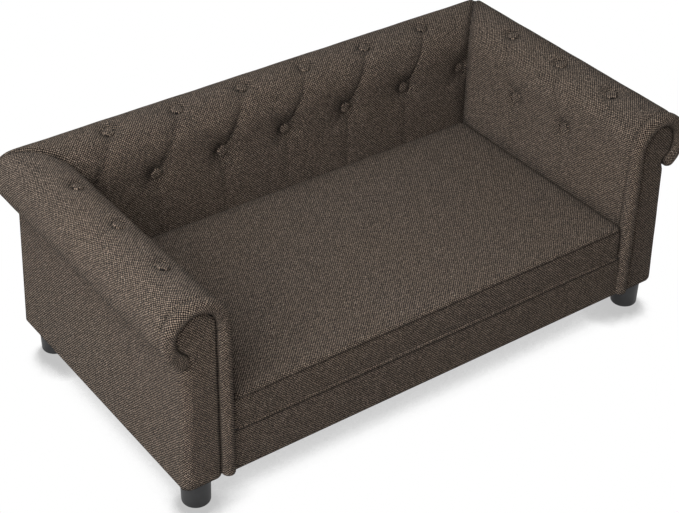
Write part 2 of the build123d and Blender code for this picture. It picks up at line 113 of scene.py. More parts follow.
class Board:
    """The node tree of a material or a world, with short ways to add and join nodes."""

    def __init__(self, owner: bpy.types.ID, output: str = "OutputMaterial") -> None:
        """Empties the tree and starts it again.

        Args:
            owner: the material or the world.
            output: the type of its output node.
        """
        owner.use_nodes = True
        self.owner = owner
        self.tree = owner.node_tree
        self.tree.nodes.clear()
        self.output = self.add(output)

    @classmethod
    def of_material(cls, name: str) -> "Board":
        """Starts a new material."""
        return cls(bpy.data.materials.new(name))

    def add(self, kind: str, inputs: dict | None = None, **settings: Any) -> bpy.types.Node:
        """Adds one node.

        Args:
            kind: the node's type, without its ShaderNode prefix.
            inputs: what goes into its sockets, a value or another node's output.
            settings: the node's own settings.

        Returns:
            The new node.
        """
        node = self.tree.nodes.new("ShaderNode" + kind)
        for key, value in settings.items():
            setattr(node, key, value)
        for key, value in (inputs or {}).items():
            if isinstance(value, Socket):
                self.tree.links.new(value, node.inputs[key])
            else:
                node.inputs[key].default_value = value
        return node

    def place(self) -> Socket:
        """The place on the object."""
        return self.add("TexCoord").outputs["Object"]

    def math(self, operation: str, *values: Any) -> Socket:
        """The result of a Math node on up to three numbers or sockets."""
        return self.add("Math", dict(enumerate(values)), operation=operation).outputs[0]

    def wave(self, value: Any, factor: float) -> Socket:
        """The sine of a value times a factor."""
        return self.math("SINE", self.math("MULTIPLY", value, factor))

    def noise(self, place: Socket, scale: float, detail: float) -> Socket:
        """A cloudy noise at a place."""
        return self.add("TexNoise", {"Vector": place, "Scale": scale, "Detail": detail}).outputs[0]

    def ramp(self, value: Any, low: float, high: float, start: float = 0.0, end: float = 1.0) -> Socket:
        """A value led from one range to another and held at its ends."""
        return self.add("MapRange", {0: value, 1: low, 2: high, 3: start, 4: end}).outputs[0]

    def grey(self, level: Socket) -> Socket:
        """A grey of one level."""
        return self.add("CombineColor", {i: level for i in range(3)}).outputs[0]

    def mix(self, share: Any, low: Any, high: Any, blend: str = "MIX") -> Socket:
        """A mix of two colours, by the share of the second one."""
        inputs = {0: share, 6: low, 7: high}
        return self.add("Mix", inputs, data_type="RGBA", blend_type=blend).outputs[2]

    def coat(
        self, colour: Any, roughness: Any, height: Any = None, strength: float = 1.0, relief: float = 0.0
    ) -> bpy.types.Node:
        """The surface's shader, raised by a height.

        Args:
            colour: the base colour.
            roughness: the roughness.
            height: the share of the relief at each place, or none for a plain surface.
            strength: how strongly it is raised.
            relief: the height of the whole relief.

        Returns:
            The shader's node.
        """
        inputs = {"Base Color": colour, "Roughness": roughness}
        if height is not None:
            raised = {"Height": height, "Strength": strength, "Distance": relief}
            inputs["Normal"] = self.add("Bump", raised).outputs[0]
        return self.add("BsdfPrincipled", inputs)

    def by_sight(self, lit: bpy.types.Node, seen: bpy.types.Node) -> bpy.types.Node:
        """One shader for the light that it gives, and one for rays that show it.

        Args:
            lit: the shader that lights the sofa.
            seen: the shader that shows straight, in gloss or through glass.

        Returns:
            The mixed shader's node.
        """
        path = self.add("LightPath").outputs
        share = self.math("MAXIMUM", path["Is Camera Ray"], path["Is Glossy Ray"])
        share = self.math("MAXIMUM", share, path["Is Transmission Ray"])
        return self.add("MixShader", {0: share, 1: lit.outputs[0], 2: seen.outputs[0]})

    def close(self, shader: bpy.types.Node) -> bpy.types.ID:
        """Joins the last shader to the output and returns the material or the world."""
        self.tree.links.new(shader.outputs[0], self.output.inputs[0])
        return self.owner


def tone(red: float, green: float, blue: float) -> Colour:
    """A linear colour from the 0 to 255 levels of a paint chart.

    Args:
        red: red level.
        green: green level.
        blue: blue level.

    Returns:
        Red, green, blue and alpha as a shader takes them.
    """
    levels = [level / 255 for level in (red, green, blue)]
    linear = [c / 12.92 if c <= 0.04045 else ((c + 0.055) / 1.055) ** 2.4 for c in levels]
    return (*linear, 1.0)


@dataclass(frozen=True)
class TweedFabric:
    """A heathered plain weave on the weave map: pale and dark yarns in a small checker."""

    name: str = "taupe_tweed"
    pale_yarn: Colour = tone(149, 132, 117)
    dark_yarn: Colour = tone(11, 9, 8)
    pale_fleck: Colour = tone(174, 161, 147)
    cool: Colour = tone(78, 72, 70)
    warm: Colour = tone(84, 72, 60)
    tint: float = 0.1
    tint_scale: float = 5.0
    tint_range: tuple = (0.35, 0.65)
    yarn: float = 2.3 * MM
    contrast: float = 5.0
    dark_lead: float = 0.16
    heather: float = 0.7
    fleck_chance: float = 0.93
    fleck_share: float = 0.5
    wander: float = 2.8 * MM
    wander_scale: float = 230.0
    relief: float = 1.0 * MM
    yarn_relief: float = 0.5
    # How strongly the painted shading darkens or lightens the colour.
    crease_shade: float = 0.62
    roughness: float = 0.95
    specular: float = 0.05
    sheen: float = 0.04
    sheen_roughness: float = 0.5

    def yarns(self, board: Board, place: Socket) -> list[Socket]:
        """The place counted in yarns each way, with the wander of uneven threads.

        Args:
            board: the material's tree.
            place: the place on the weave map.

        Returns:
            The count across and the count along.
        """
        drift = board.add("TexNoise", {"Vector": place, "Scale": self.wander_scale, "Detail": 1.0})
        inputs = {0: drift.outputs["Color"], 1: [self.wander] * 3, 2: place}
        wandered = board.add("VectorMath", inputs, operation="MULTIPLY_ADD")
        apart = board.add("SeparateXYZ", {0: wandered.outputs[0]})
        return [board.math("DIVIDE", apart.outputs[i], self.yarn) for i in range(2)]

    def material(self) -> bpy.types.Material:
        """Builds the fabric's material.

        Returns:
            The material.
        """
        board = Board.of_material(self.name)
        place = board.add("UVMap", uv_map=WEAVE_MAP).outputs[0]
        ways = self.yarns(board, place)
        checker = board.math("MULTIPLY", *(board.wave(way, math.pi) for way in ways))
        middle = 0.5 - self.dark_lead * self.contrast / 2
        share = board.math("MULTIPLY_ADD", checker, self.contrast / 2, middle)
        share = board.add("Clamp", {0: share}).outputs[0]
        colour = board.mix(share, self.dark_yarn, self.pale_yarn)
        cell = board.add("CombineXYZ", {i: board.math("FLOOR", way) for i, way in enumerate(ways)})
        speckle = board.add("TexWhiteNoise", {"Vector": cell.outputs[0]}, noise_dimensions="2D")
        chance = board.add("SeparateColor", {0: speckle.outputs["Color"]}).outputs[1]
        fleck = board.ramp(chance, self.fleck_chance, 1.0, 0.0, self.fleck_share)
        colour = board.mix(board.math("MULTIPLY", fleck, share), colour, self.pale_fleck)
        cloud = board.ramp(board.noise(place, self.tint_scale, 2.0), *self.tint_range)
        colour = board.mix(self.tint, colour, board.mix(cloud, self.cool, self.warm))
        # Painted shading: the colour is darkened by the painted shade share, and lightened where the
        # share is below 0 (painted highlight).
        crease = board.add("Attribute", attribute_name=PAINTED_SHADING).outputs["Fac"]
        level = board.math("SUBTRACT", 1.0, board.math("MULTIPLY", crease, self.crease_shade))
        value, least = speckle.outputs["Value"], 1 - self.heather / 2
        uneven = board.math("MULTIPLY_ADD", value, self.heather, least)
        level = board.math("MULTIPLY", level, uneven)
        colour = board.mix(1.0, colour, board.grey(level), "MULTIPLY")
        height = board.math("MULTIPLY_ADD", share, self.yarn_relief, board.math("ABSOLUTE", checker))
        shader = board.coat(colour, self.roughness, height, 1.0, self.relief)
        shader.inputs["Specular IOR Level"].default_value = self.specular
        shader.inputs["Sheen Weight"].default_value = self.sheen
        shader.inputs["Sheen Roughness"].default_value = self.sheen_roughness
        return board.close(shader)


@dataclass(frozen=True)
class FeltLining:
    """Black non-woven lining, pressed with a fine square of heat points."""

    name: str = "black_lining"
    colour: Colour = tone(38, 36, 36)
    pale: Colour = tone(58, 56, 55)
    point: float = 1.6 * MM
    point_share: float = 0.2
    fibre: float = 900.0
    roughness: float = 0.9
    relief: float = 0.15 * MM

    def material(self) -> bpy.types.Material:
        """Builds the lining's material.

        Returns:
            The material.
        """
        board = Board.of_material(self.name)
        place = board.place()
        apart = board.add("SeparateXYZ", {0: place}).outputs
        grid = board.math("MULTIPLY", *(board.wave(apart[i], math.tau / self.point) for i in range(2)))
        points = board.math("MULTIPLY", grid, self.point_share)
        share = board.math("ADD", board.noise(place, self.fibre, 3.0), points)
        colour = board.mix(share, self.colour, self.pale)
        return board.close(board.coat(colour, self.roughness, share, 0.8, self.relief))


@dataclass(frozen=True)
class SawnTimber:
    """Plain pine with its grain along one axis."""

    name: str = "sawn_pine"
    pale: Colour = tone(214, 184, 140)
    dark: Colour = tone(178, 138, 92)
    ring: float = 55.0
    ring_share: float = 0.7
    fibre: float = 700.0
    stretch: tuple = (0.12, 1.0, 1.0)
    roughness: float = 0.7
    relief: float = 0.2 * MM

    def material(self) -> bpy.types.Material:
        """Builds the timber's material.

        Returns:
            The material.
        """
        board = Board.of_material(self.name)
        drawn = board.add("Mapping", {"Vector": board.place(), "Scale": self.stretch}).outputs[0]
        inputs = {"Vector": drawn, "Scale": self.ring, "Distortion": 6.0, "Detail": 3.0}
        wave = board.add("TexWave", inputs, bands_direction="Z").outputs["Fac"]
        fibre = board.noise(drawn, self.fibre, 2.0)
        rings = board.math("MULTIPLY", wave, self.ring_share)
        share = board.math("ADD", rings, board.math("MULTIPLY", fibre, 1 - self.ring_share))
        colour = board.mix(share, self.pale, self.dark)
        return board.close(board.coat(colour, self.roughness, fibre, 0.6, self.relief))


@dataclass(frozen=True)
class PlyBoard(SawnTimber):
    """Thin plywood, whose plies show as bands on its edges."""

    name: str = "plywood_board"
    pale: Colour = tone(205, 178, 138)
    dark: Colour = tone(160, 124, 84)
    ring: float = 90.0


@dataclass(frozen=True)
class OpenFoam:
    """Cut foam with small open cells."""

    name: str = "cut_foam"
    colour: Colour = tone(222, 212, 180)
    pit: Colour = tone(176, 162, 124)
    cell: float = 480.0
    roughness: float = 0.95
    relief: float = 0.8 * MM

    def material(self) -> bpy.types.Material:
        """Builds the foam's material.

        Returns:
            The material.
        """
        board = Board.of_material(self.name)
        cells = board.add("TexVoronoi", {"Vector": board.place(), "Scale": self.cell})
        cells = cells.outputs["Distance"]
        colour = board.mix(cells, self.pit, self.colour)
        return board.close(board.coat(colour, self.roughness, cells, 0.8, self.relief))


@dataclass(frozen=True)
class MouldedPlastic:
    """Satin black plastic with a faint spark-eroded grain and some handling marks."""

    name: str = "satin_plastic"
    colour: Colour = tone(23, 23, 24)
    worn: Colour = tone(38, 38, 39)
    grain: float = 1400.0
    mark: float = 60.0
    roughness: float = 0.46
    rough_spread: float = 0.14
    relief: float = 0.06 * MM

    def material(self) -> bpy.types.Material:
        """Builds the plastic's material.

        Returns:
            The material.
        """
        board = Board.of_material(self.name)
        place = board.place()
        marks = board.noise(place, self.mark, 5.0)
        colour = board.mix(board.ramp(marks, 0.45, 0.75), self.colour, self.worn)
        rough = board.ramp(marks, 0.3, 0.7, self.roughness, self.roughness + self.rough_spread)
        grain = board.noise(place, self.grain, 2.0)
        return board.close(board.coat(colour, rough, grain, 0.5, self.relief))


@dataclass(frozen=True)
class PlatedMetal:
    """Zinc-plated or nickel-plated metal with a cloudy bloom."""

    name: str
    colour: Colour
    cloud: Colour
    roughness: float
    rough_spread: float = 0.2
    bloom: float = 220.0

    def material(self) -> bpy.types.Material:
        """Builds the metal's material.

        Returns:
            The material.
        """
        board = Board.of_material(self.name)
        bloom = board.noise(board.place(), self.bloom, 4.0)
        rough = board.ramp(bloom, 0.3, 0.7, self.roughness, self.roughness + self.rough_spread)
        shader = board.coat(board.mix(bloom, self.colour, self.cloud), rough)
        shader.inputs["Metallic"].default_value = 1.0
        return board.close(shader)


@dataclass(frozen=True)
class KnitTape:
    """The knitted tape of a zip, with fine ribs along its length."""

    name: str = "knit_tape"
    colour: Colour = tone(46, 41, 38)
    pale: Colour = tone(74, 66, 60)
    rib: float = 0.9 * MM
    roughness: float = 0.85
    relief: float = 0.2 * MM

    def material(self) -> bpy.types.Material:
        """Builds the tape's material.

        Returns:
            The material.
        """
        board = Board.of_material(self.name)
        apart = board.add("SeparateXYZ", {0: board.place()}).outputs
        loops = board.math("MULTIPLY", *(board.wave(apart[i], math.tau / self.rib) for i in (2, 0)))
        share = board.math("MULTIPLY_ADD", loops, 0.4, 0.5)
        colour = board.mix(share, self.colour, self.pale)
        return board.close(board.coat(colour, self.roughness, share, 0.7, self.relief))


class Wardrobe:
    """Every finish, built once and kept by its slot."""

    def __init__(self) -> None:
        """Builds the materials."""
        finishes = {
            Slot.WOVEN: TweedFabric(),
            Slot.LINING: FeltLining(),
            Slot.FOAM: OpenFoam(),
            Slot.PINE: SawnTimber(),
            Slot.PLYWOOD: PlyBoard(),
            Slot.PLASTIC: MouldedPlastic(),
            Slot.STEEL: PlatedMetal("zinc_plate", tone(196, 198, 200), tone(156, 160, 164), 0.32),
            Slot.TAPE: KnitTape(),
            Slot.ZIP: PlatedMetal("gunmetal", tone(120, 120, 122), tone(84, 84, 86), 0.28),
        }
        self.materials = {slot: finish.material() for slot, finish in finishes.items()}

    def dress(
        self, piece: Piece, slot: Slot, body: Body, *nodes: str, fill: float | None = None
    ) -> None:
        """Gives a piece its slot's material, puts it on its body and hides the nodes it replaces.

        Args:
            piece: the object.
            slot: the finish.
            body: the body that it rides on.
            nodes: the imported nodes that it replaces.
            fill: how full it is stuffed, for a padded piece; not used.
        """
        piece.data.materials.clear()
        piece.data.materials.append(self.materials[slot])
        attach(piece, body.value)
        if nodes:
            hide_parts(*nodes)
        log.info("%s: %d faces, %s", piece.name, len(piece.data.polygons), slot.value)

    def finish_node(self, name: str, slot: Slot) -> None:
        """Gives a carried-over node its finish.

        Args:
            name: the node's name.
            slot: the finish.
        """
        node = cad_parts[name]
        node.data.materials.clear()
        node.data.materials.append(self.materials[slot])
        log.info("%s: kept, %s", name, slot.value)


def new_cloth() -> Mesh:
    """Starts a mesh that holds the weave map and the shares of painted shade.

    Returns:
        The empty mesh.
    """
    bm = bmesh.new()
    bm.loops.layers.uv.new(WEAVE_MAP)
    bm.verts.layers.float.new(PAINTED_SHADING)
    return bm


def positions(verts: Sequence[Vert]) -> Array:
    """The places of some vertices, one row each."""
    return np.array([v.co[:] for v in verts], float).reshape(-1, 3)


def verts_of(items: Sequence[Any]) -> list[Vert]:
    """The vertices among the things that an operator gives back."""
    return [item for item in items if isinstance(item, Vert)]


def finished(bm: Mesh, name: str, mirrored: bool = False, outward: bool = True) -> Piece:
    """Turns a bmesh into a smooth-shaded object at the origin.

    Args:
        bm: the mesh, freed here.
        name: the piece's name.
        mirrored: whether it is swapped to the other side of X.
        outward: whether its normals are worked out again, which a mirrored piece needs.

    Returns:
        The object, linked to the scene.
    """
    if mirrored:
        bmesh.ops.scale(bm, vec=(-1.0, 1.0, 1.0), verts=bm.verts)
    if outward:
        bmesh.ops.recalc_face_normals(bm, faces=bm.faces)
    for face in bm.faces:
        face.smooth = True
    mesh = bpy.data.meshes.new(name)
    bm.to_mesh(mesh)
    bm.free()
    piece = bpy.data.objects.new(name, mesh)
    bpy.context.scene.collection.objects.link(piece)
    return piece


def set_weave(bm: Mesh, verts: Sequence[Vert], flat: Array) -> None:
    """Writes the weave map of some vertices' corners.

    Args:
        bm: the mesh.
        verts: the vertices.
        flat: their places on the flat cloth, in metres, one row each.
    """
    layer = bm.loops.layers.uv[WEAVE_MAP]
    for vert, place in zip(verts, flat):
        for loop in vert.link_loops:
            loop[layer].uv = place


def set_crease(bm: Mesh, verts: Sequence[Vert], shares: Array) -> None:
    """Writes the painted shade shares of some vertices.

    Args:
        bm: the mesh.
        verts: the vertices.
        shares: how dark the painted shade is at each.
    """
    layer = bm.verts.layers.float[PAINTED_SHADING]
    for vert, share in zip(verts, shares):
        vert[layer] = share


def wrap_weave(bm: Mesh) -> None:
    """Lays the weave on each face from the axis that the face looks along most.

    Args:
        bm: the mesh.
    """
    layer = bm.loops.layers.uv[WEAVE_MAP]
    bm.normal_update()
    for face in bm.faces:
        normal = [abs(c) for c in face.normal]
        axis = normal.index(max(normal))
        across, along = ((1, 2), (0, 2), (0, 1))[axis]
        for loop in face.loops:
            loop[layer].uv = (loop.vert.co[across], loop.vert.co[along])


def shell(name: str, columns: int, rows: int, rule: PlaceRule, mirrored: bool = False) -> Piece:
    """A closed sheet made from a grid: its outer face, a copy behind it and the edges between.

    Args:
        name: the piece's name.
        columns: cells along the first share.
        rows: cells along the second share.
        rule: gives places, weave places and painted shade from two arrays of shares and the
            layer, 0 for the face and 1 for the back.
        mirrored: whether it is swapped to the other side of X.

    Returns:
        The object.
    """
    bm = new_cloth()
    bmesh.ops.create_grid(bm, x_segments=columns, y_segments=rows, size=0.5)
    front = list(bm.verts)
    made = bmesh.ops.extrude_face_region(bm, geom=bm.faces[:], use_keep_orig=True)
    for layer, verts in enumerate((front, verts_of(made["geom"]))):
        shares = positions(verts)
        places, flat, painted_shading_shares = rule(shares[:, 0] + 0.5, shares[:, 1] + 0.5, layer)
        for vert, place in zip(verts, places):
            vert.co = place
        set_crease(bm, verts, painted_shading_shares)
        set_weave(bm, verts, flat)
    bmesh.ops.remove_doubles(bm, verts=bm.verts, dist=WELD)
    bmesh.ops.dissolve_degenerate(bm, edges=bm.edges, dist=WELD)
    return finished(bm, name, mirrored)


def placed(x: Array, y: Array, z: Array, u: Array, v: Array, crease: Array | None = None) -> Placed:
    """What a place rule gives back: world places, weave places and painted shade shares."""
    shares = np.zeros_like(x) if crease is None else crease
    return np.column_stack([x, y, z]), np.column_stack([u, v]), shares


def swept(bm: Mesh, section: Sequence[Vector], stations: Sequence[Matrix], closed: bool) -> None:
    """Pulls a closed section through a row of stations.

    Args:
        bm: the mesh that it is added to.
        section: the section's corners, in the stations' own XY plane.
        stations: where the section stands, one matrix each.
        closed: whether the last station joins the first, or both ends are capped.
    """
    ring = [bm.verts.new(stations[0] @ corner) for corner in section]
    edges = [bm.edges.new((ring[i - 1], ring[i])) for i in range(len(ring))]
    first = list(edges)
    for here, there in zip(stations, stations[1:]):
        made = bmesh.ops.extrude_edge_only(bm, edges=edges)["geom"]
        moved = verts_of(made)
        edges = [item for item in made if isinstance(item, Edge)]
        edges = [e for e in edges if e.verts[0] in moved and e.verts[1] in moved]
        bmesh.ops.transform(bm, matrix=there @ here.inverted(), verts=moved)
    if closed:
        bmesh.ops.bridge_loops(bm, edges=first + edges)
    else:
        for loop in (first, edges):
            bmesh.ops.contextual_create(bm, geom=loop)


def turned(bm: Mesh, outline: Sequence[tuple[float, float]], steps: int) -> list[Vert]:
    """Spins an outline once round Z.

    Args:
        bm: the mesh that it is added to.
        outline: radius and height of each point.
        steps: cells round the turn.

    Returns:
        The new vertices.
    """
    known = set(bm.verts)
    profile = [bm.verts.new((radius, 0, height)) for radius, height in outline]
    edges = [bm.edges.new(pair) for pair in zip(profile, profile[1:])]
    bmesh.ops.spin(
        bm,
        geom=profile + edges,
        cent=(0, 0, 0),
        axis=(0, 0, 1),
        angle=math.tau,
        steps=steps,
        use_merge=True,
    )
    return [vert for vert in bm.verts if vert not in known]


def soften(bm: Mesh, edges: Sequence[Edge], offset: float, segments: int) -> None:
    """Bevels some edges.

    Args:
        bm: the mesh.
        edges: the edges.
        offset: width of the bevel.
        segments: cells across it.
    """
    bmesh.ops.bevel(
        bm, geom=edges, offset=offset, affect="EDGES", segments=segments, profile=0.5, material=-1
    )


def islands(node: str) -> list[Array]:
    """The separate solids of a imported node.

    Args:
        node: the node's name.

    Returns:
        The corners of each solid, one row each.
    """
    bm = bmesh.new()
    bm.from_mesh(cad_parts[node].data)
    bmesh.ops.remove_doubles(bm, verts=bm.verts, dist=WELD / 2)
    waiting = set(bm.verts)
    found = []
    while waiting:
        group = [waiting.pop()]
        for vert in group:
            near = {edge.other_vert(vert) for edge in vert.link_edges} & waiting
            waiting -= near
            group += near
        found.append(positions(group))
    bm.free()
    return sorted(found, key=lambda points: tuple(points.mean(0).round(4)))


def ripple(u: Array, t: Array, height: float) -> Array:
    """A slow unevenness of hand-pulled cloth.

    Args:
        u: places along the cloth, in metres.
        t: places across it, in metres.
        height: the tallest rise.

    Returns:
        The rise at each place.
    """
    first = np.sin(u * 47.0 + 1.3) * np.sin(t * 61.0 + 0.4)
    second = np.sin(u * 91.0 + t * 37.0 + 2.1)
    third = np.sin(u * 23.0 - t * 113.0 + 4.0)
    return height * (0.45 * first + 0.3 * second + 0.25 * third)


def smooth_share(value: Array) -> Array:
    """A share from 0 to 1 that leaves both ends gently."""
    value = np.clip(value, 0.0, 1.0)
    return value * value * (3 - 2 * value)


def fall_off(distance: Array, reach: float) -> Array:
    """A share of 1 at no distance that falls off like a bell."""
    return np.exp(-((distance / reach) ** 2))


def within(value: Array, low: float, high: Array | float, after: float, before: float) -> Array:
    """A share of 1 between two limits, faded after the low one and before the high one."""
    return smooth_share((high - value) / before) * smooth_share((value - low) / after)


@dataclass(frozen=True)
class WallSection:
    """The section that the arms and the back share: a flat seat side under a round roll."""

    inner_x: float
    inner_y: float
    front_y: float
    foot: float
    roll_z: float
    radius: float
    depth: float
    tuck: float
    skirt_top: float
    skirt_foot: float
    flare: float = 8 * MM
    corner_power: float = 10.0
    corner_lead: float = 19 * MM

    @classmethod
    def from_frame(cls) -> "WallSection":
        """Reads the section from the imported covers.

        Returns:
            The section.
        """
        low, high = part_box("arm_cover_right")
        back_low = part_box("back_cover")[0]
        outer_low, outer_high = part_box("outer_arm_cover_right")
        radius = (high.x - low.x) / 2
        return cls(
            inner_x=low.x,
            inner_y=back_low.y,
            front_y=low.y,
            foot=low.z,
            roll_z=high.z - radius,
            radius=radius,
            depth=outer_high.x - low.x,
            tuck=outer_low.x - low.x,
            skirt_top=outer_high.z,
            skirt_foot=outer_low.z,
        )

    @property
    def rise(self) -> float:
        """Height of the flat seat side."""
        return self.roll_z - self.foot

    @property
    def length(self) -> float:
        """Climb from the foot, over the roll, to the tuck under it."""
        return self.rise + self.radius * (math.pi + math.acos((self.tuck - self.radius) / self.radius))

    def at(self, climb: Array, lift: Array) -> tuple[Array, Array]:
        """Depth and height of points that stand off the face.

        Args:
            climb: the way up the face and over the roll.
            lift: how far each point stands off the face.

        Returns:
            Their depth from the seat side and their height.
        """
        angle = np.clip(climb - self.rise, 0.0, None) / self.radius
        depth = self.radius * (1 - np.cos(angle)) - lift * np.cos(angle)
        height = self.foot + np.minimum(climb, self.rise) + (self.radius + lift) * np.sin(angle)
        return depth, height

    def flare_at(self, height: Array) -> Array:
        """How far the plain outer covers lean out at each height, most at the foot."""
        share = (self.skirt_top - height) / (self.skirt_top - self.skirt_foot)
        return self.flare * np.clip(share, 0.0, 1.0)

    def rounded(self, x: Array, y: Array) -> tuple[Array, Array]:
        """Draws in the outer rear corners, where the cloth is pulled round the end of the roll.

        Args:
            x: places from side to side.
            y: places from front to back.

        Returns:
            The same places, nearer to the roll's centre lines in the corners.
        """
        beside = np.clip(np.abs(x) - self.inner_x - self.radius, 0.0, None)
        behind = np.clip(y - self.inner_y - self.radius, 0.0, None)
        far = np.maximum(beside, behind)
        power = self.corner_power
        bent = np.maximum((beside**power + behind**power) ** (1 / power), MM)
        outside = smooth_share((far - self.depth + self.radius) / self.corner_lead)
        drawn = outside * (1 - np.minimum(far / bent, 1.0))
        return x - np.sign(x) * beside * drawn, y - behind * drawn

    def climb_of(self, depth: float, height: float) -> float:
        """The climb of the face point nearest to a place.

        Args:
            depth: the place's depth from the seat side.
            height: its height.

        Returns:
            The way up the face and over the roll.
        """
        if height <= self.roll_z:
            return height - self.foot
        return self.rise + self.radius * math.atan2(height - self.roll_z, self.radius - depth)


@dataclass(frozen=True)
class Dimple:
    """The hollow round one button: flat under it, with a thin moat at its rim."""

    u: float
    climb: float
    depth: float
    floor: float
    spread: float
    # Strength of a painted shade blob beside the button.
    pull: float = 0.0
    puckers: int = 8
    pucker: float = 0.16
    pucker_turn: float = 0.7
    sharp_share: float = 0.45
    sharp_spread: float = 0.35
    moat_depth: float = 0.9 * MM
    moat_gap: float = 1.2 * MM
    moat_width: float = 1.8 * MM
    # Painted shade of the ring round the button and of its drawn-in sides.
    ring_shade: float = 0.2
    side_shade: float = 0.35
    side_power: int = 6
    side_gap: float = 3 * MM
    side_width: float = 4.5 * MM
    pull_place: tuple = (-15 * MM, 5 * MM)
    pull_size: tuple = (7 * MM, 12 * MM)

    def around(self, u: Array, climb: Array) -> tuple[Array, Array]:
        """Distance and direction of each place from the button's centre."""
        across, along = u - self.u, climb - self.climb
        return np.hypot(across, along), np.arctan2(along, across)

    def hollow(self, u: Array, climb: Array) -> Array:
        """Depth of the hollow.

        Args:
            u: places along the wall.
            climb: places up the face.

        Returns:
            The depth at each place.
        """
        reach, turn = self.around(u, climb)
        pucker = 1 + self.pucker * np.cos(self.puckers * turn + self.pucker_turn)
        past = np.clip(reach - self.floor, 0.0, None)
        sharp = np.exp(-past / (self.sharp_spread * self.spread))
        moat = self.moat_depth * fall_off(reach - self.floor - self.moat_gap, self.moat_width)
        wide = fall_off(past, self.spread * pucker)
        return self.depth * (self.sharp_share * sharp + (1 - self.sharp_share) * wide) + moat

    def shade(self, u: Array, climb: Array) -> Array:
        """Painted shade of the ring round the button, of its drawn-in sides and of a blob beside it.

        Args:
            u: places along the wall.
            climb: places up the face.

        Returns:
            The painted shade share at each place.
        """
        reach, turn = self.around(u, climb)
        ring = fall_off(reach - self.floor, self.moat_width)
        sides = np.abs(np.cos(turn)) ** self.side_power
        sides *= fall_off(reach - self.floor - self.side_gap, self.side_width)
        # A painted shade blob beside the button.
        pull = fall_off(u - self.u - self.pull_place[0], self.pull_size[0])
        pull *= fall_off(climb - self.climb - self.pull_place[1], self.pull_size[1])
        return self.ring_shade * ring + self.side_shade * sides + self.pull * pull


@dataclass(frozen=True)
class Pleat:
    """A folded line in the quilting between two places, with a thin shadow in its fold."""

    start: tuple[float, float]
    end: tuple[float, float]
    start_depth: float
    end_depth: float
    sharp: float
    wide: float
    shadow: float = 0.0
    shadow_width: float = 2.2 * MM
    sharp_share: float = 0.55

    def reach(self, u: Array, climb: Array) -> tuple[Array, Array]:
        """Where each place lies by the fold.

        Args:
            u: places along the wall.
            climb: places up the face.

        Returns:
            Its distance from the fold, and its share of the way along it.
        """
        run_u, run_t = self.end[0] - self.start[0], self.end[1] - self.start[1]
        length = math.hypot(run_u, run_t)
        off_u, off_t = u - self.start[0], climb - self.start[1]
        share = np.clip((off_u * run_u + off_t * run_t) / length**2, 0.0, 1.0)
        return np.hypot(off_u - share * run_u, off_t - share * run_t), share

    def hollow(self, u: Array, climb: Array) -> Array:
        """Depth of the fold.

        Args:
            u: places along the wall.
            climb: places up the face.

        Returns:
            The depth at each place.
        """
        reach, share = self.reach(u, climb)
        depth = self.start_depth + (self.end_depth - self.start_depth) * share
        sharp = self.sharp_share * np.exp(-reach / self.sharp)
        return depth * (sharp + (1 - self.sharp_share) * fall_off(reach, self.wide))

    def shade(self, u: Array, climb: Array) -> Array:
        """Painted shadow of the fold's line at each place, fading along it."""
        reach, share = self.reach(u, climb)
        return self.shadow * (1 - share**2) * fall_off(reach, self.shadow_width)


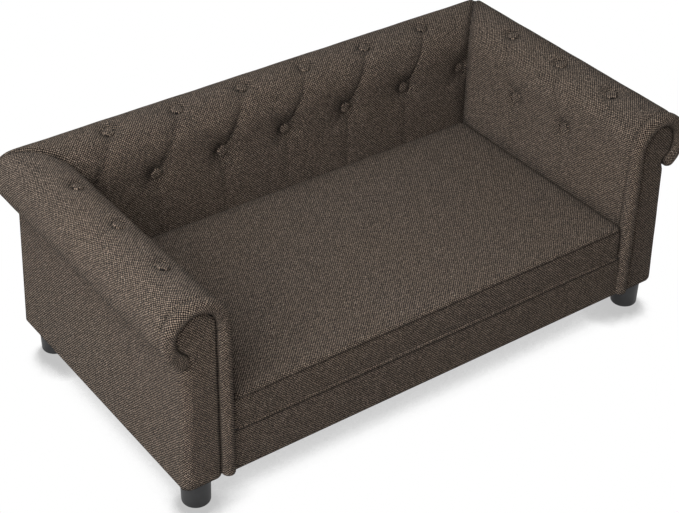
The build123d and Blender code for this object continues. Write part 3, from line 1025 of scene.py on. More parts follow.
@dataclass
class QuiltedCover:
    """A quilted cover of one arm or of the back, with its buttons.

    A dimple is given as its depth, its spread and the strength of the painted shade beside
    it. A fold is given as the share of the pleat's depth at its two ends, its sharp and its
    wide reach, and the strength of its painted shadow.
    """

    section: WallSection
    wardrobe: Wardrobe
    node: str
    button_node: str
    side: Side | None = None
    cell: float = 3.2 * MM
    thickness: float = 16 * MM
    fill: float = 0.8
    uneven: float = 0.35 * MM
    back_dimple: tuple = (11 * MM, 20 * MM, 0.5)
    arm_dimple: tuple = (7 * MM, 15 * MM, 0.15)
    top_dimple: tuple = (7 * MM, 11 * MM, 0.0)
    arm_strength: float = 0.42
    seam_depth: float = 5 * MM
    seam_width: float = 7 * MM
    seam_close: float = 34 * MM
    front_seam_depth: float = 1.5 * MM
    pleat_depth: float = 7.5 * MM
    pleat_end_depth: float = 3.5 * MM
    long_fold: tuple = (1.0, 1.0, 3 * MM, 15 * MM, 0.9)
    short_fold: tuple = (0.6, 0.2, 6 * MM, 16 * MM, 0.4)
    short_share: float = 0.55
    near_share: float = 0.75
    fall: tuple = (3.2 * MM, 1.2 * MM, 4 * MM, 11 * MM, 0.3)
    wing: tuple = (3.0 * MM, 0.2 * MM, 2.5 * MM, 6 * MM, 0.5)
    wing_reach: float = 2.6
    wing_drop: float = 2 * MM
    # Painted shade where the quilting lies deep, on the arms just above the seat, and along the corner
    # seam.
    deep_shade: float = 0.45
    valley_shade: float = 0.65
    valley_reach: float = 24 * MM
    corner_shade: float = 0.35
    corner_reach: float = 11 * MM
    blend_power: float = 3.0
    button_steps: int = 32
    button_dome: tuple = (
        (0, 4.8), (0.35, 4.7), (0.7, 4.4), (0.88, 3.8), (0.97, 2.8), (1.0, 1.3), (0.95, 0.0), (0, 0.0)
    )
    gathers: int = 9
    gather_depth: float = 0.25 * MM
    buttons: list[tuple[float, float]] = field(default_factory=list)
    hollows: list[Any] = field(default_factory=list)

    @property
    def is_back(self) -> bool:
        """Whether this is the back's cover."""
        return self.side is None

    def read_buttons(self) -> None:
        """Finds each button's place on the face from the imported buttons."""
        for points in islands(self.button_node):
            centre = (points.min(0) + points.max(0)) / 2
            u, depth = centre[0], centre[1] - self.section.inner_y
            if not self.is_back:
                u, depth = centre[1], abs(centre[0]) - self.section.inner_x
            self.buttons.append((u, self.section.climb_of(depth, centre[2])))

    def fold(self, start: tuple[float, float], end: tuple[float, float], strength: float) -> Pleat:
        """The pleat from a lower button to a top one: long to the right, short to the left.

        Args:
            start: the lower button's place.
            end: the top button's place.
            strength: how strongly the cover is quilted.

        Returns:
            The pleat.
        """
        deep, thin, sharp, wide, shade = self.long_fold
        if end[0] <= start[0]:
            deep, thin, sharp, wide, shade = self.short_fold
            end = tuple(a + self.short_share * (b - a) for a, b in zip(start, end))
        deep, thin = deep * self.pleat_depth * strength, thin * self.pleat_end_depth * strength
        return Pleat(start, end, deep, thin, sharp, wide, shade * strength)

    def plan_hollows(self) -> None:
        """Lays out the dimples, the pleats between the rows and the falls below them."""
        lower = [place for place in self.buttons if place[1] <= self.section.rise]
        top = [place for place in self.buttons if place[1] > self.section.rise]
        strength = 1.0 if self.is_back else self.arm_strength
        pitch = min(abs(a[0] - b[0]) for a in top for b in top if a != b)
        radius = button_radius(self.button_node)
        depth, spread, pull = self.back_dimple if self.is_back else self.arm_dimple
        fall_depth, *fall_form, fall_shade = self.fall
        for place in lower:
            self.hollows.append(Dimple(*place, depth, radius, spread, pull))
            foot, depth_down, shade = (place[0], 0.0), fall_depth * strength, fall_shade * strength
            self.hollows.append(Pleat(place, foot, depth_down, *fall_form, shade))
            near = [other for other in top if abs(other[0] - place[0]) < self.near_share * pitch]
            self.hollows += [self.fold(place, other, strength) for other in near]
        depth, spread, pull = self.top_dimple
        for u, climb in top:
            self.hollows.append(Dimple(u, climb, depth, radius, spread, pull))
            for way in (-radius, radius):
                far = (u + self.wing_reach * way, climb - self.wing_drop)
                self.hollows.append(Pleat((u + way, climb), far, *self.wing))

    def relief(self, u: Array, climb: Array) -> Array:
        """Depth of the quilting below the smooth face, before its seams.

        Args:
            u: places along the wall.
            climb: places up the face.

        Returns:
            The depth at each place.
        """
        total = np.zeros_like(u)
        for hollow in self.hollows:
            total += hollow.hollow(u, climb) ** self.blend_power
        return total ** (1 / self.blend_power)

    def shading(self, u: Array, climb: Array, sunk: Array, corner: Array) -> Array:
        """Painted shade of the folds: soft where the quilting lies deep, thin along each fold.

        Args:
            u: places along the wall.
            climb: places up the face.
            sunk: depth of the quilting there.
            corner: distance from the seam in the sofa's corner.

        Returns:
            Painted shade shares.
        """
        # Painted shade along the seam in the sofa's corner.
        lines = self.corner_shade * fall_off(corner, self.corner_reach)
        for hollow in self.hollows:
            lines = np.maximum(lines, hollow.shade(u, climb))
        # Painted shade on the arms just above the seat cushion's top.
        if not self.is_back:
            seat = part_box("cushion_top_panel")[0].z - self.section.foot
            above = np.clip(climb - seat, 0.0, None)
            lines = np.maximum(lines, self.valley_shade * fall_off(above, self.valley_reach))
        return np.clip(self.deep_shade * sunk / self.back_dimple[0] + lines, 0.0, 1.0)

    def place(self, along: Array, up: Array, layer: int) -> Placed:
        """Places the cover's vertices.

        Args:
            along: shares along the wall, from the left or the front.
            up: shares of the climb.
            layer: 0 for the face, 1 for the back of the quilting.

        Returns:
            World places, weave places and painted shade shares.
        """
        section = self.section
        climb = up * section.length
        start, end = self.limits(section.at(climb, np.zeros_like(climb))[0])
        u = start + along * (end - start)
        sunk = self.relief(u, climb) + ripple(u, climb, self.uneven)
        seam = self.seam_depth * smooth_share((section.length - climb) / self.seam_close)
        sunk = self.to_seam(sunk, end - u, seam)
        sunk = self.to_seam(sunk, u - start, seam if self.is_back else self.front_seam_depth)
        lift = -sunk if layer == 0 else np.full_like(u, -self.thickness)
        depth, height = section.at(climb, lift)
        start, end = self.limits(depth)
        u = start + along * (end - start)
        corner = np.minimum(u - start, end - u) if self.is_back else end - u
        x, y = self.in_plan(u, depth)
        if layer == 0:
            x, y = section.rounded(x, y)
        return placed(x, y, height, u, climb, self.shading(u, climb, sunk, corner))

    def to_seam(self, sunk: Array, reach: Array, depth: Array | float) -> Array:
        """Leads the quilting down to a seam's depth at its edge."""
        share = fall_off(reach, self.seam_width)
        return sunk * (1 - share) + depth * share

    def limits(self, depth: Array) -> tuple[Array, Array]:
        """Where the cover starts and ends along the wall.

        Args:
            depth: depths from the seat side.

        Returns:
            The start and the end at each depth.
        """
        if self.is_back:
            reach = self.section.inner_x + depth
            return -reach, reach
        return np.full_like(depth, self.section.front_y), self.section.inner_y + depth

    def in_plan(self, u: Any, depth: Any) -> tuple[Any, Any]:
        """X and Y of places on the wall.

        Args:
            u: places along the wall.
            depth: depths from the seat side.

        Returns:
            Their X and their Y.
        """
        if self.is_back:
            return u, self.section.inner_y + depth
        return self.side.value * (self.section.inner_x + depth), u

    def build(self) -> None:
        """Makes the cover and its buttons and dresses them."""
        self.read_buttons()
        self.plan_hollows()
        low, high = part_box(self.node)
        run = (high.x - low.x) if self.is_back else (high.y - low.y)
        columns, rows = round(run / self.cell), round(self.section.length / self.cell)
        cover = shell("quilted_" + self.node, columns, rows, self.place)
        self.wardrobe.dress(cover, Slot.WOVEN, Body.SOFA, self.node, fill=self.fill)
        self.wardrobe.dress(self.button_mesh(), Slot.WOVEN, Body.SOFA, self.button_node)

    def button_mesh(self) -> Piece:
        """The covered buttons: domes with gathered rims, seated in their dimples.

        Returns:
            All the cover's buttons as one piece.
        """
        radius = button_radius(self.button_node)
        bm = new_cloth()
        for points, (u, climb) in zip(islands(self.button_node), self.buttons):
            foot = self.face_frame(u, climb)
            base = min((foot.inverted() @ Vector(point)).z for point in points)
            outline = [(share * radius, base + rise * MM) for share, rise in self.button_dome]
            verts = turned(bm, outline, self.button_steps)
            for vert in verts:
                turn = math.atan2(vert.co.y, vert.co.x)
                share = math.hypot(vert.co.x, vert.co.y) / radius
                vert.co.z -= self.gather_depth * share**4 * (1 + math.cos(self.gathers * turn))
            set_weave(bm, verts, positions(verts)[:, :2] + np.array([u, climb]))
            bmesh.ops.transform(bm, matrix=foot, verts=verts)
        bmesh.ops.remove_doubles(bm, verts=bm.verts, dist=WELD)
        return finished(bm, self.button_node + "_covered")

    def face_frame(self, u: float, climb: float) -> Matrix:
        """A frame on the smooth face, with Z off the face and X along the wall.

        Args:
            u: place along the wall.
            climb: place up the face.

        Returns:
            The frame.
        """
        low, high = (self.world(u, climb, lift) for lift in (0.0, 1.0))
        normal = (high - low).normalized()
        along = Vector((1, 0, 0)) if self.is_back else Vector((0, 1, 0))
        turn = Matrix((along, normal.cross(along), normal)).transposed().to_4x4()
        return Matrix.Translation(low) @ turn

    def world(self, u: float, climb: float, lift: float) -> Vector:
        """World place of a point off the smooth face."""
        depth, height = self.section.at(np.array([climb]), np.array([lift]))
        return Vector((*self.in_plan(u, depth[0]), height[0]))


def button_radius(node: str) -> float:
    """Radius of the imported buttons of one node, from the widest side of the first."""
    points = islands(node)[0]
    return float((points.max(0) - points.min(0)).max() / 2)


@dataclass(frozen=True)
class Skirt:
    """How a plain outer cover hangs: its folded hem, its rear corner and its fullness."""

    fold_round: float = 3 * MM
    hem: float = 10 * MM
    rear_round: float = 5 * MM
    fullness: float = 0.8 * MM
    uneven: float = 0.5 * MM
    top_fade: float = 60 * MM
    foot_fade: float = 40 * MM

    def flat_height(self, low: Vector, high: Vector) -> float:
        """Height of the flat cloth of a cover, with its hem."""
        return high.z - low.z + self.hem

    def section(
        self, down: Array, face: float, top: float, bottom: float, thick: float
    ) -> tuple[Array, Array, Array]:
        """The section of an upright cover that is folded under at its bottom edge.

        Args:
            down: shares from the top edge to the end of the hem.
            face: where the face stands, outwards.
            top: height of the top edge.
            bottom: height of the fold.
            thick: how far inside the face the points lie.

        Returns:
            Places outwards, heights and lengths along the cloth.
        """
        fold = self.fold_round
        drop, turn = top - bottom - fold, fold * math.pi / 2
        way = down * (drop + turn + self.hem)
        angle = np.clip((way - drop) / fold, 0.0, math.pi / 2)
        under = np.clip(way - drop - turn, 0.0, None)
        out = face - fold + (fold - thick) * np.cos(angle) - under
        height = np.where(way < drop, top - way, bottom + fold - (fold - thick) * np.sin(angle))
        return out, height, way

    def belly(self, along: Array, height: Array, low: Vector, high: Vector) -> Array:
        """How far the cloth stands off the flat, fading towards its top and its foot."""
        share = within(height, low.z, high.z, self.foot_fade, self.top_fade)
        return share * (self.fullness + ripple(along, height, self.uneven))


@dataclass
class ArmFront:
    """The front of one arm: its border roll, its facing and its outer cover."""

    section: WallSection
    wardrobe: Wardrobe
    side: Side
    skirt: Skirt = Skirt()
    border_fill: float = 0.9
    border_bulge: float = 1.2 * MM
    border_slim: float = 2 * MM
    border_press: float = 0.5 * MM
    # Strength of the painted shade towards the border's back.
    border_shade: float = 0.55
    border_segments: int = 28
    back_squareness: float = 0.35
    station_gap: float = 5 * MM
    cap_cells: int = 4
    tail_start: float = 0.9 * math.pi
    tail_past: float = 0.13
    tail_swell: float = 0.04
    curl_gap: float = 0.2
    facing_fill: float = 0.5
    facing_cells: tuple = (44, 150)
    facing_crown: float = 4.5 * MM
    facing_uneven: float = 0.3 * MM
    facing_rows_power: float = 0.9
    crown_reach: float = 15 * MM
    groove_depth: float = 5 * MM
    groove_width: float = 4 * MM
    # Width of the painted shade along the groove by the border.
    groove_shade: float = 2.4 * MM
    foot_pull: float = 3 * MM
    foot_reach: float = 2.5 * MM
    edge_tuck: float = 4 * MM
    neck_share: float = 0.83
    shoulder_share: float = 0.92
    corner_round: float = 10 * MM
    corner_tight: float = 0.8
    corner_fade: float = 0.35
    outer_cells: tuple = (120, 64)
    end_fade: float = 50 * MM
    rear_past: float = 2 * MM

    def node(self, stem: str) -> str:
        """Name of this arm's node of one kind."""
        return f"{stem}_{self.side.word}"

    def build(self) -> None:
        """Makes and dresses the three pieces."""
        mirrored = self.side is Side.LEFT
        low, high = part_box("border_roll_right")
        facing_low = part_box("arm_facing_right")[0]
        self.width = facing_low.x - low.x - self.border_slim
        self.front, self.plane, self.bottom = low.y, high.y, low.z
        self.facing_front = facing_low.y
        self.outer_low, self.outer_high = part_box("outer_arm_cover_right")
        border = self.border(mirrored)
        border_node, facing_node = self.node("border_roll"), self.node("arm_facing")
        self.wardrobe.dress(border, Slot.WOVEN, Body.SOFA, border_node, fill=self.border_fill)
        facing = shell(self.node("crowned_facing"), *self.facing_cells, self.place_facing, mirrored)
        self.wardrobe.dress(facing, Slot.WOVEN, Body.SOFA, facing_node, fill=self.facing_fill)
        outer = shell(self.node("outer_arm_panel"), *self.outer_cells, self.place_outer, mirrored)
        self.wardrobe.dress(outer, Slot.WOVEN, Body.SOFA, self.node("outer_arm_cover"))
        low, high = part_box(self.node("outer_arm_cover"))
        size = (high.y - low.y, self.skirt.flat_height(low, high))
        self.node("arm_outer_board")

    @property
    def turn_end(self) -> float:
        """Angle over the scroll at which the border's tail ends, above the outer panel."""
        reach = self.outer_low.x - self.section.inner_x - self.section.radius
        return math.pi + math.acos(reach / (self.section.radius - self.width / 2)) + self.tail_past

    @property
    def disc(self) -> float:
        """Radius of the facing's round top, tucked under the border all round."""
        return self.section.radius - self.width + self.edge_tuck

    def from_border(self, x: Array, z: Array) -> Array:
        """Distance of each place in the facing's plane from the border's edge, 0 under it.

        Args:
            x: places across the arm.
            z: heights.

        Returns:
            The distances.
        """
        section, arc_radius = self.section, self.section.radius - self.width / 2
        centre = section.inner_x + section.radius
        turn = np.arctan2(z - section.roll_z, centre - x)
        turn = np.where(turn < -math.pi / 2, turn + math.tau, turn)
        turn = np.clip(turn, 0.0, self.turn_end - self.curl_gap)
        near_x, near_z = centre - arc_radius * np.cos(turn), section.roll_z + arc_radius * np.sin(turn)
        to_arc = np.hypot(x - near_x, z - near_z)
        to_post = np.hypot(x - section.inner_x - self.width / 2, z - np.minimum(z, section.roll_z))
        return np.clip(np.minimum(to_arc, to_post) - self.width / 2, 0.0, None)

    def border_corners(self, radius_x: float, radius_y: float) -> list[Vector]:
        """The border's section: round in front and nearly square where it meets the arm.

        Args:
            radius_x: half its width.
            radius_y: half its depth.

        Returns:
            The section's corners.
        """
        corners = []
        for i in range(self.border_segments):
            turn = math.tau * i / self.border_segments
            across, deep = math.cos(turn), math.sin(turn)
            if deep > 0:
                across = math.copysign(abs(across) ** self.back_squareness, across)
            corners.append(Vector((radius_x * across, radius_y * deep, 0)))
        return corners

    def border_steps(self, length: float, radius: float) -> list[tuple[float, float]]:
        """The way to each station of the border and its size, with a round cap at both ends.

        Args:
            length: length of the border.
            radius: half its width.

        Returns:
            Way and size of each station.
        """
        steps = []
        for i in range(1, self.cap_cells):
            turn = math.pi / 2 * i / self.cap_cells
            steps.append((radius / 2 * (1 - math.cos(turn)), math.sin(turn)))
        count = round(length / self.station_gap)
        steps += [(radius / 2 + (length - 1.5 * radius) * i / count, 1.0) for i in range(count + 1)]
        for i in range(1, self.cap_cells):
            over = i / self.cap_cells
            steps.append((length - radius + radius * over, math.sqrt(1 - over**2)))
        return steps

    def border(self, mirrored: bool) -> Piece:
        """The stuffed roll up the seat side of the arm and round its scroll.

        Args:
            mirrored: whether it is swapped to the other side of X.

        Returns:
            The border.
        """
        section = self.section
        radius_x = self.width / 2 + self.border_bulge
        radius_y = (self.plane - self.front) / 2 + self.border_press
        middle_y = (self.plane + self.front) / 2
        arc_radius = section.radius - self.width / 2
        straight = section.roll_z - self.bottom
        stations, lengths = [], []
        for way, size in self.border_steps(straight + arc_radius * self.turn_end, radius_x):
            over_roll = max(0.0, way - straight) / arc_radius
            tail = max(0.0, (over_roll - self.tail_start) / (self.turn_end - self.tail_start))
            swell = 1 + 0.012 * math.sin(way * 83 + 0.5) + 0.008 * math.sin(way * 191)
            size *= (1 + self.tail_swell * tail) * swell
            height = self.bottom + min(way, straight)
            centre = Matrix.Translation((section.inner_x + section.radius, middle_y, height))
            arm = Matrix.Rotation(over_roll, 4, "Y") @ Matrix.Translation((-arc_radius, 0, 0))
            stations.append(centre @ arm @ Matrix.Diagonal((size, size, 1, 1)))
            lengths.append(min(way, straight) + over_roll * section.radius)
        bm = new_cloth()
        swept(bm, self.border_corners(radius_x, radius_y), stations, closed=False)
        verts = list(bm.verts)
        round_it = np.arange(self.border_segments) / self.border_segments * math.tau * radius_x
        across, along = np.meshgrid(round_it, lengths)
        set_weave(bm, verts, np.column_stack([across.ravel(), along.ravel()]))
        # Painted shade: the border darkens towards its back, where it meets the arm.
        behind = (positions(verts)[:, 1] - middle_y) / radius_y
        set_crease(bm, verts, self.border_shade * smooth_share(behind))
        return finished(bm, self.node("stuffed_border"), mirrored)

    def facing_edges(self, height: Array) -> tuple[Array, Array]:
        """The facing's limits in X: round at the top, then out to the corner of the arm.

        Args:
            height: heights.

        Returns:
            The inner and the outer limit at each height.
        """
        section = self.section
        centre, disc = section.inner_x + section.radius, self.disc
        above = np.clip(height - section.roll_z, -disc, disc)
        half = np.sqrt(np.maximum(disc**2 - above**2, 0.0))
        inner = np.where(height > section.roll_z, centre - half, centre - disc)
        neck = self.neck_share * disc
        shoulder = section.roll_z - section.radius * self.shoulder_share
        waist = section.roll_z - neck
        slant = smooth_share((height - shoulder) / (waist - shoulder))
        at_waist = centre + math.sqrt(disc**2 - neck**2)
        skirt = self.outer_high.x + section.flare_at(height)
        outer = np.where(height > waist, centre + half, skirt + (at_waist - skirt) * slant)
        return inner, outer

    def place_facing(self, across: Array, up: Array, layer: int) -> Placed:
        """Places the facing's vertices: a crowned panel whose outer edge turns the corner.

        Args:
            across: shares from the border to the outer corner.
            up: shares of the height.
            layer: 0 for the face, 1 for the back.

        Returns:
            World places, weave places and painted shade shares.
        """
        section = self.section
        rise = section.roll_z + self.disc - self.bottom
        height = self.bottom + rise * np.sin(up * math.pi / 2) ** self.facing_rows_power
        inner, outer = self.facing_edges(height)
        thick = self.plane - self.facing_front
        fade = self.corner_fade * section.radius
        under_tail = smooth_share((height - (section.roll_z - section.radius)) / fade)
        turn = self.corner_round * (1 - self.corner_tight * under_tail)
        turn = np.minimum(turn, (outer - inner) / 2)
        flat_run, arc_run = outer - inner - turn, turn * math.pi / 2
        way = across * (flat_run + arc_run + thick - turn)
        angle = np.clip((way - flat_run) / np.maximum(turn, TINY), 0.0, math.pi / 2)
        x = inner + np.minimum(way, flat_run) + turn * np.sin(angle)
        past = np.clip(way - flat_run - arc_run, 0.0, None)
        y = self.facing_front + turn * (1 - np.cos(angle)) + past
        apart = self.from_border(x, height)
        groove = self.groove_depth * fall_off(apart, self.groove_width)
        foot = self.foot_pull * np.exp(-(height - self.bottom) / self.foot_reach)
        crown = self.facing_crown * smooth_share(np.minimum(x - inner, outer - x) / self.crown_reach)
        crown += ripple(x, height, self.facing_uneven) * np.cos(angle)
        y = y + np.maximum(groove, foot) * np.cos(angle) - crown
        x = x - foot * 0.5 * np.sin(angle)
        if layer == 1:
            x, y = np.minimum(x, outer - 0.2 * MM), np.full_like(y, self.plane)
        y = np.minimum(y, self.plane)
        # Painted shade along the groove where the facing meets the border.
        return placed(x, y, height, inner + way, height, fall_off(apart, self.groove_shade))

    def place_outer(self, along: Array, down: Array, layer: int) -> Placed:
        """Places the outer cover's vertices: flat, and folded under at the bottom.

        Args:
            along: shares from the front to the rear corner.
            down: shares from the top edge to the end of the hem.
            layer: 0 for the face, 1 for the back.

        Returns:
            World places, weave places and painted shade shares.
        """
        low, high = self.outer_low, self.outer_high
        thick = (high.x - low.x) * PANEL_SHARE * layer
        x, z, flat = self.skirt.section(down, high.x, high.z, low.z, thick)
        flare = self.section.flare_at(z)
        rear = high.y + self.rear_past - self.skirt.rear_round + BACK_FLARE_SHARE * flare
        y = low.y + (rear - low.y) * along
        ends = within(y, low.y, rear, self.end_fade, self.end_fade)
        x += flare + ends * self.skirt.belly(y, z, low, high) * (1 - layer)
        return placed(x, y, z, y, -flat)


@dataclass
class FlatCovers:
    """The plain covers of the back and the front rail, and the linings."""

    section: WallSection
    wardrobe: Wardrobe
    back_skirt: Skirt = Skirt()
    back_cells: tuple = (320, 64)
    back_fade: float = 60 * MM
    rail_skirt: Skirt = Skirt(fullness=1.5 * MM, top_fade=30 * MM, foot_fade=30 * MM)
    rail_cells: tuple = (200, 36)
    rail_fade: float = 40 * MM
    # Height of the painted shade along the rail's top edge.
    rail_shade: float = 4 * MM
    lining_cells: tuple = (60, 40)
    lining_thickness: float = 0.9 * MM
    lining_uneven: float = 0.25 * MM

    def build(self) -> None:
        """Makes and dresses the four pieces."""
        low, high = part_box("outer_back_cover")
        back = shell("outer_back_panel", *self.back_cells, self.place_back)
        self.wardrobe.dress(back, Slot.WOVEN, Body.SOFA, "outer_back_cover")
        corner = self.back_skirt.rear_round
        width = high.x - low.x - 2 * corner + math.pi * corner
        size = (width, self.back_skirt.flat_height(low, high))
        low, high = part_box("front_rail_cover")
        rail = shell("front_rail_panel", *self.rail_cells, self.place_rail)
        self.wardrobe.dress(rail, Slot.WOVEN, Body.SOFA, "front_rail_cover")
        size = (high.x - low.x, self.rail_skirt.flat_height(low, high))
        for node, name, rests in (
            ("deck_cloth", "deck_lining", "deck_board"),
            ("dust_cover", "dust_lining", "base_side_rail_left"),
        ):
            low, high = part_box(node)
            lining = shell(name, *self.lining_cells, self.lining_rule(low, high))
            self.wardrobe.dress(lining, Slot.LINING, Body.SOFA, node)

    def place_back(self, along: Array, down: Array, layer: int) -> Placed:
        """Places the back's outer cover: flat, with both ends turned round the corners.

        Args:
            along: shares from the left corner to the right one.
            down: shares from the top edge to the end of the hem.
            layer: 0 for the face, 1 for the back.

        Returns:
            World places, weave places and painted shade shares.
        """
        low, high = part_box("outer_back_cover")
        corner = self.back_skirt.rear_round
        half, turn = high.x - corner, corner * math.pi / 2
        way = (along - 0.5) * 2 * (half + turn)
        angle = np.clip((np.abs(way) - half) / corner, 0.0, math.pi / 2)
        thick = (high.y - low.y) * PANEL_SHARE * layer
        out, z, flat = self.back_skirt.section(down, 0.0, high.z, low.z, thick)
        ends = smooth_share((half - np.abs(way)) / self.back_fade)
        reach = corner + out + ends * self.back_skirt.belly(way, z, low, high) * (1 - layer)
        lean = self.section.flare_at(z)
        x = np.sign(way) * (np.minimum(np.abs(way), half) * (1 + lean / half) + reach * np.sin(angle))
        y = high.y - corner + BACK_FLARE_SHARE * lean + reach * np.cos(angle)
        return placed(x, y, z, way, -flat)

    def place_rail(self, along: Array, down: Array, layer: int) -> Placed:
        """Places the front rail's cover: slightly full, and folded under.

        Args:
            along: shares from left to right.
            down: shares from the top edge to the end of the hem.
            layer: 0 for the face, 1 for the back.

        Returns:
            World places, weave places and painted shade shares.
        """
        low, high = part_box("front_rail_cover")
        x = low.x + (high.x - low.x) * along
        thick = (high.y - low.y) * PANEL_SHARE * layer
        out, z, flat = self.rail_skirt.section(down, -low.y, high.z, low.z, thick)
        ends = smooth_share((high.x - np.abs(x)) / self.rail_fade)
        out = out + ends * self.rail_skirt.belly(x, z, low, high) * (1 - layer)
        # Painted shade along the rail's top edge, under the cushion's piping.
        crease = np.exp(-(((high.z - z) / self.rail_shade) ** 4))
        return placed(x, -out, z, x, -flat, crease)

    def lining_rule(self, low: Vector, high: Vector) -> PlaceRule:
        """The rule of a lining stretched flat inside a node's box.

        Args:
            low: the box's lowest corner.
            high: its highest corner.

        Returns:
            The rule.
        """

        def place(along: Array, across: Array, layer: int) -> Placed:
            """Places the lining's vertices.

            Args:
                along: shares from left to right.
                across: shares from front to back.
                layer: 0 for the face, 1 for the back.

            Returns:
                World places, weave places and painted shade shares.
            """
            x = low.x + (high.x - low.x) * along
            y = low.y + (high.y - low.y) * across
            middle = (low.z + high.z) / 2 + ripple(x, y, self.lining_uneven)
            return placed(x, y, middle + self.lining_thickness * (0.5 - layer), x, y)

        return place


@dataclass
class SeatCushion:
    """The loose seat cushion: a crowned box of foam in a boxed cover with piping below."""

    wardrobe: Wardrobe
    cover_fill: float = 0.85
    corner_round: float = 14 * MM
    lip_round: float = 6 * MM
    lip_turn: float = math.radians(76)
    seam_lift: float = 4 * MM
    base_round: float = 3 * MM
    draw_in: float = 1.6 * MM
    lip_draw_share: float = 0.6
    seam_groove: float = 1.6 * MM
    seam_half: float = 1.5 * MM
    seam_ease: float = 0.3
    # Each seam ring: its step, the share of the groove's depth and the painted shade along the seam.
    seam_rings: tuple = ((-1, 0.1, 0.25), (0, 1.0, 0.9), (1, 0.3, 0.35))
    side_pull: float = 1.4 * MM
    side_power: int = 12
    channel_depth: float = 5.2 * MM
    channel_edge: float = 1.2 * MM
    channel_end: float = 4 * MM
    corner_cells_share: float = 0.1
    side_ease: float = 2.4
    front_ease: float = 1.0
    # Painted shade on the top near its sides and back, where the cushion meets the arms and the back.
    side_shade: float = 0.55
    side_reach: float = 20 * MM
    crown_gap: float = 0.6 * MM
    crown_power: int = 3
    crown_fullness: float = 0.75
    band_uneven: float = 0.5 * MM
    top_uneven: float = 0.9 * MM
    columns: int = 130
    rows: int = 76
    base_rings: int = 4
    band_rings: int = 10
    lip_rings: int = 8
    piping_fill: float = 1.0
    piping_radius: float = 2.3 * MM
    # Below 0, so the piping's colour is lightened: a painted highlight.
    piping_lift: float = -0.15
    piping_sides: int = 10
    piping_turns: int = 8

    def build(self) -> None:
        """Makes and dresses the cushion and its piping."""
        self.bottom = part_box("cushion_base_panel")[0].z
        low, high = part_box("cushion_piping")
        panel_low, panel_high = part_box("cushion_top_panel")
        self.zip_low, self.zip_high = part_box("zipper_tape")
        self.seam, self.peak = panel_low.z + self.seam_lift, panel_high.z
        self.halves = (high.x, (high.y - low.y) / 2)
        self.piping_centre = Vector((0, (high.y + low.y) / 2, (low.z + high.z) / 2))
        nodes = ("cushion_top_panel", "cushion_boxing", "cushion_base_panel")
        self.wardrobe.dress(self.cover(), Slot.WOVEN, Body.CUSHION, *nodes, fill=self.cover_fill)
        piping = self.piping()
        self.wardrobe.dress(piping, Slot.WOVEN, Body.CUSHION, "cushion_piping", fill=self.piping_fill)

    def band_levels(self, start: float, end: float) -> list[float]:
        """Heights of the band's rings, with the zip channel's edges among them.

        Args:
            start: height of the band's foot.
            end: height of its top.

        Returns:
            The heights in order.
        """
        cells = self.band_rings + 1
        levels = [start + (end - start) * i / cells for i in range(1, cells)]
        channel = [self.zip_low.z, self.zip_low.z + self.channel_edge]
        channel += [self.zip_high.z - self.channel_edge, self.zip_high.z]
        levels = [z for z in levels if all(abs(z - edge) > self.channel_edge for edge in channel)]
        return sorted(levels + channel)

    def rings(self) -> list[tuple[float, float, float, float]]:
        """The rings of the sides, from the base to the lip.

        Returns:
            Inset, height, painted shade and ease of each.
        """
        found = []
        for i in range(self.base_rings):
            turn = math.pi / 2 * i / (self.base_rings - 1)
            inset = self.draw_in + self.base_round * (1 - math.sin(turn))
            found.append((inset, self.bottom + self.base_round * (1 - math.cos(turn)), 0.0, 0.0))
        start, end = self.bottom + self.base_round, self.seam - 2 * self.seam_half
        for z in self.band_levels(start, end):
            share = (z - start) / (end - start)
            found.append((self.draw_in * (1 - 2 * share) ** 2, z, 0.0, 0.0))
        for step, groove, crease in self.seam_rings:
            inset = self.draw_in + groove * self.seam_groove
            found.append((inset, self.seam + step * self.seam_half, crease, self.seam_ease))
        for i in range(self.lip_rings):
            turn = self.lip_turn * i / (self.lip_rings - 1)
            inset = self.lip_draw_share * self.draw_in + self.lip_round * (1 - math.cos(turn))
            height = self.seam + 2 * self.seam_half + self.lip_round * math.sin(turn)
            found.append((inset, height, 0.0, 1.0))
        return found

    def cover(self) -> Piece:
        """The sewn cover: top, band and base with their seams and the zip's channel.

        Returns:
            The cover.
        """
        rings = np.array(self.rings())
        last = len(rings) - 1
        bm = new_cloth()
        bmesh.ops.create_cube(bm, size=2.0)
        for axis, cells in enumerate((self.columns, self.rows, last)):
            edges = [e for e in bm.edges if abs(e.verts[0].co[axis] - e.verts[1].co[axis]) > 1.0]
            bmesh.ops.subdivide_edges(bm, edges=edges, cuts=cells - 1, use_grid_fill=True)
        bm.normal_update()
        normals = [tuple(face.normal) for face in bm.faces]
        verts = list(bm.verts)
        bm.verts.index_update()
        unit = positions(verts)
        level = np.rint((unit[:, 2] + 1) / 2 * last).astype(int)
        places, painted_shading_shares = self.place(unit, rings[level], level == last)
        for vert, place in zip(verts, places):
            vert.co = place
        set_crease(bm, verts, painted_shading_shares)
        self.map_weave(bm, rings, level, normals)
        return finished(bm, "boxed_cushion")

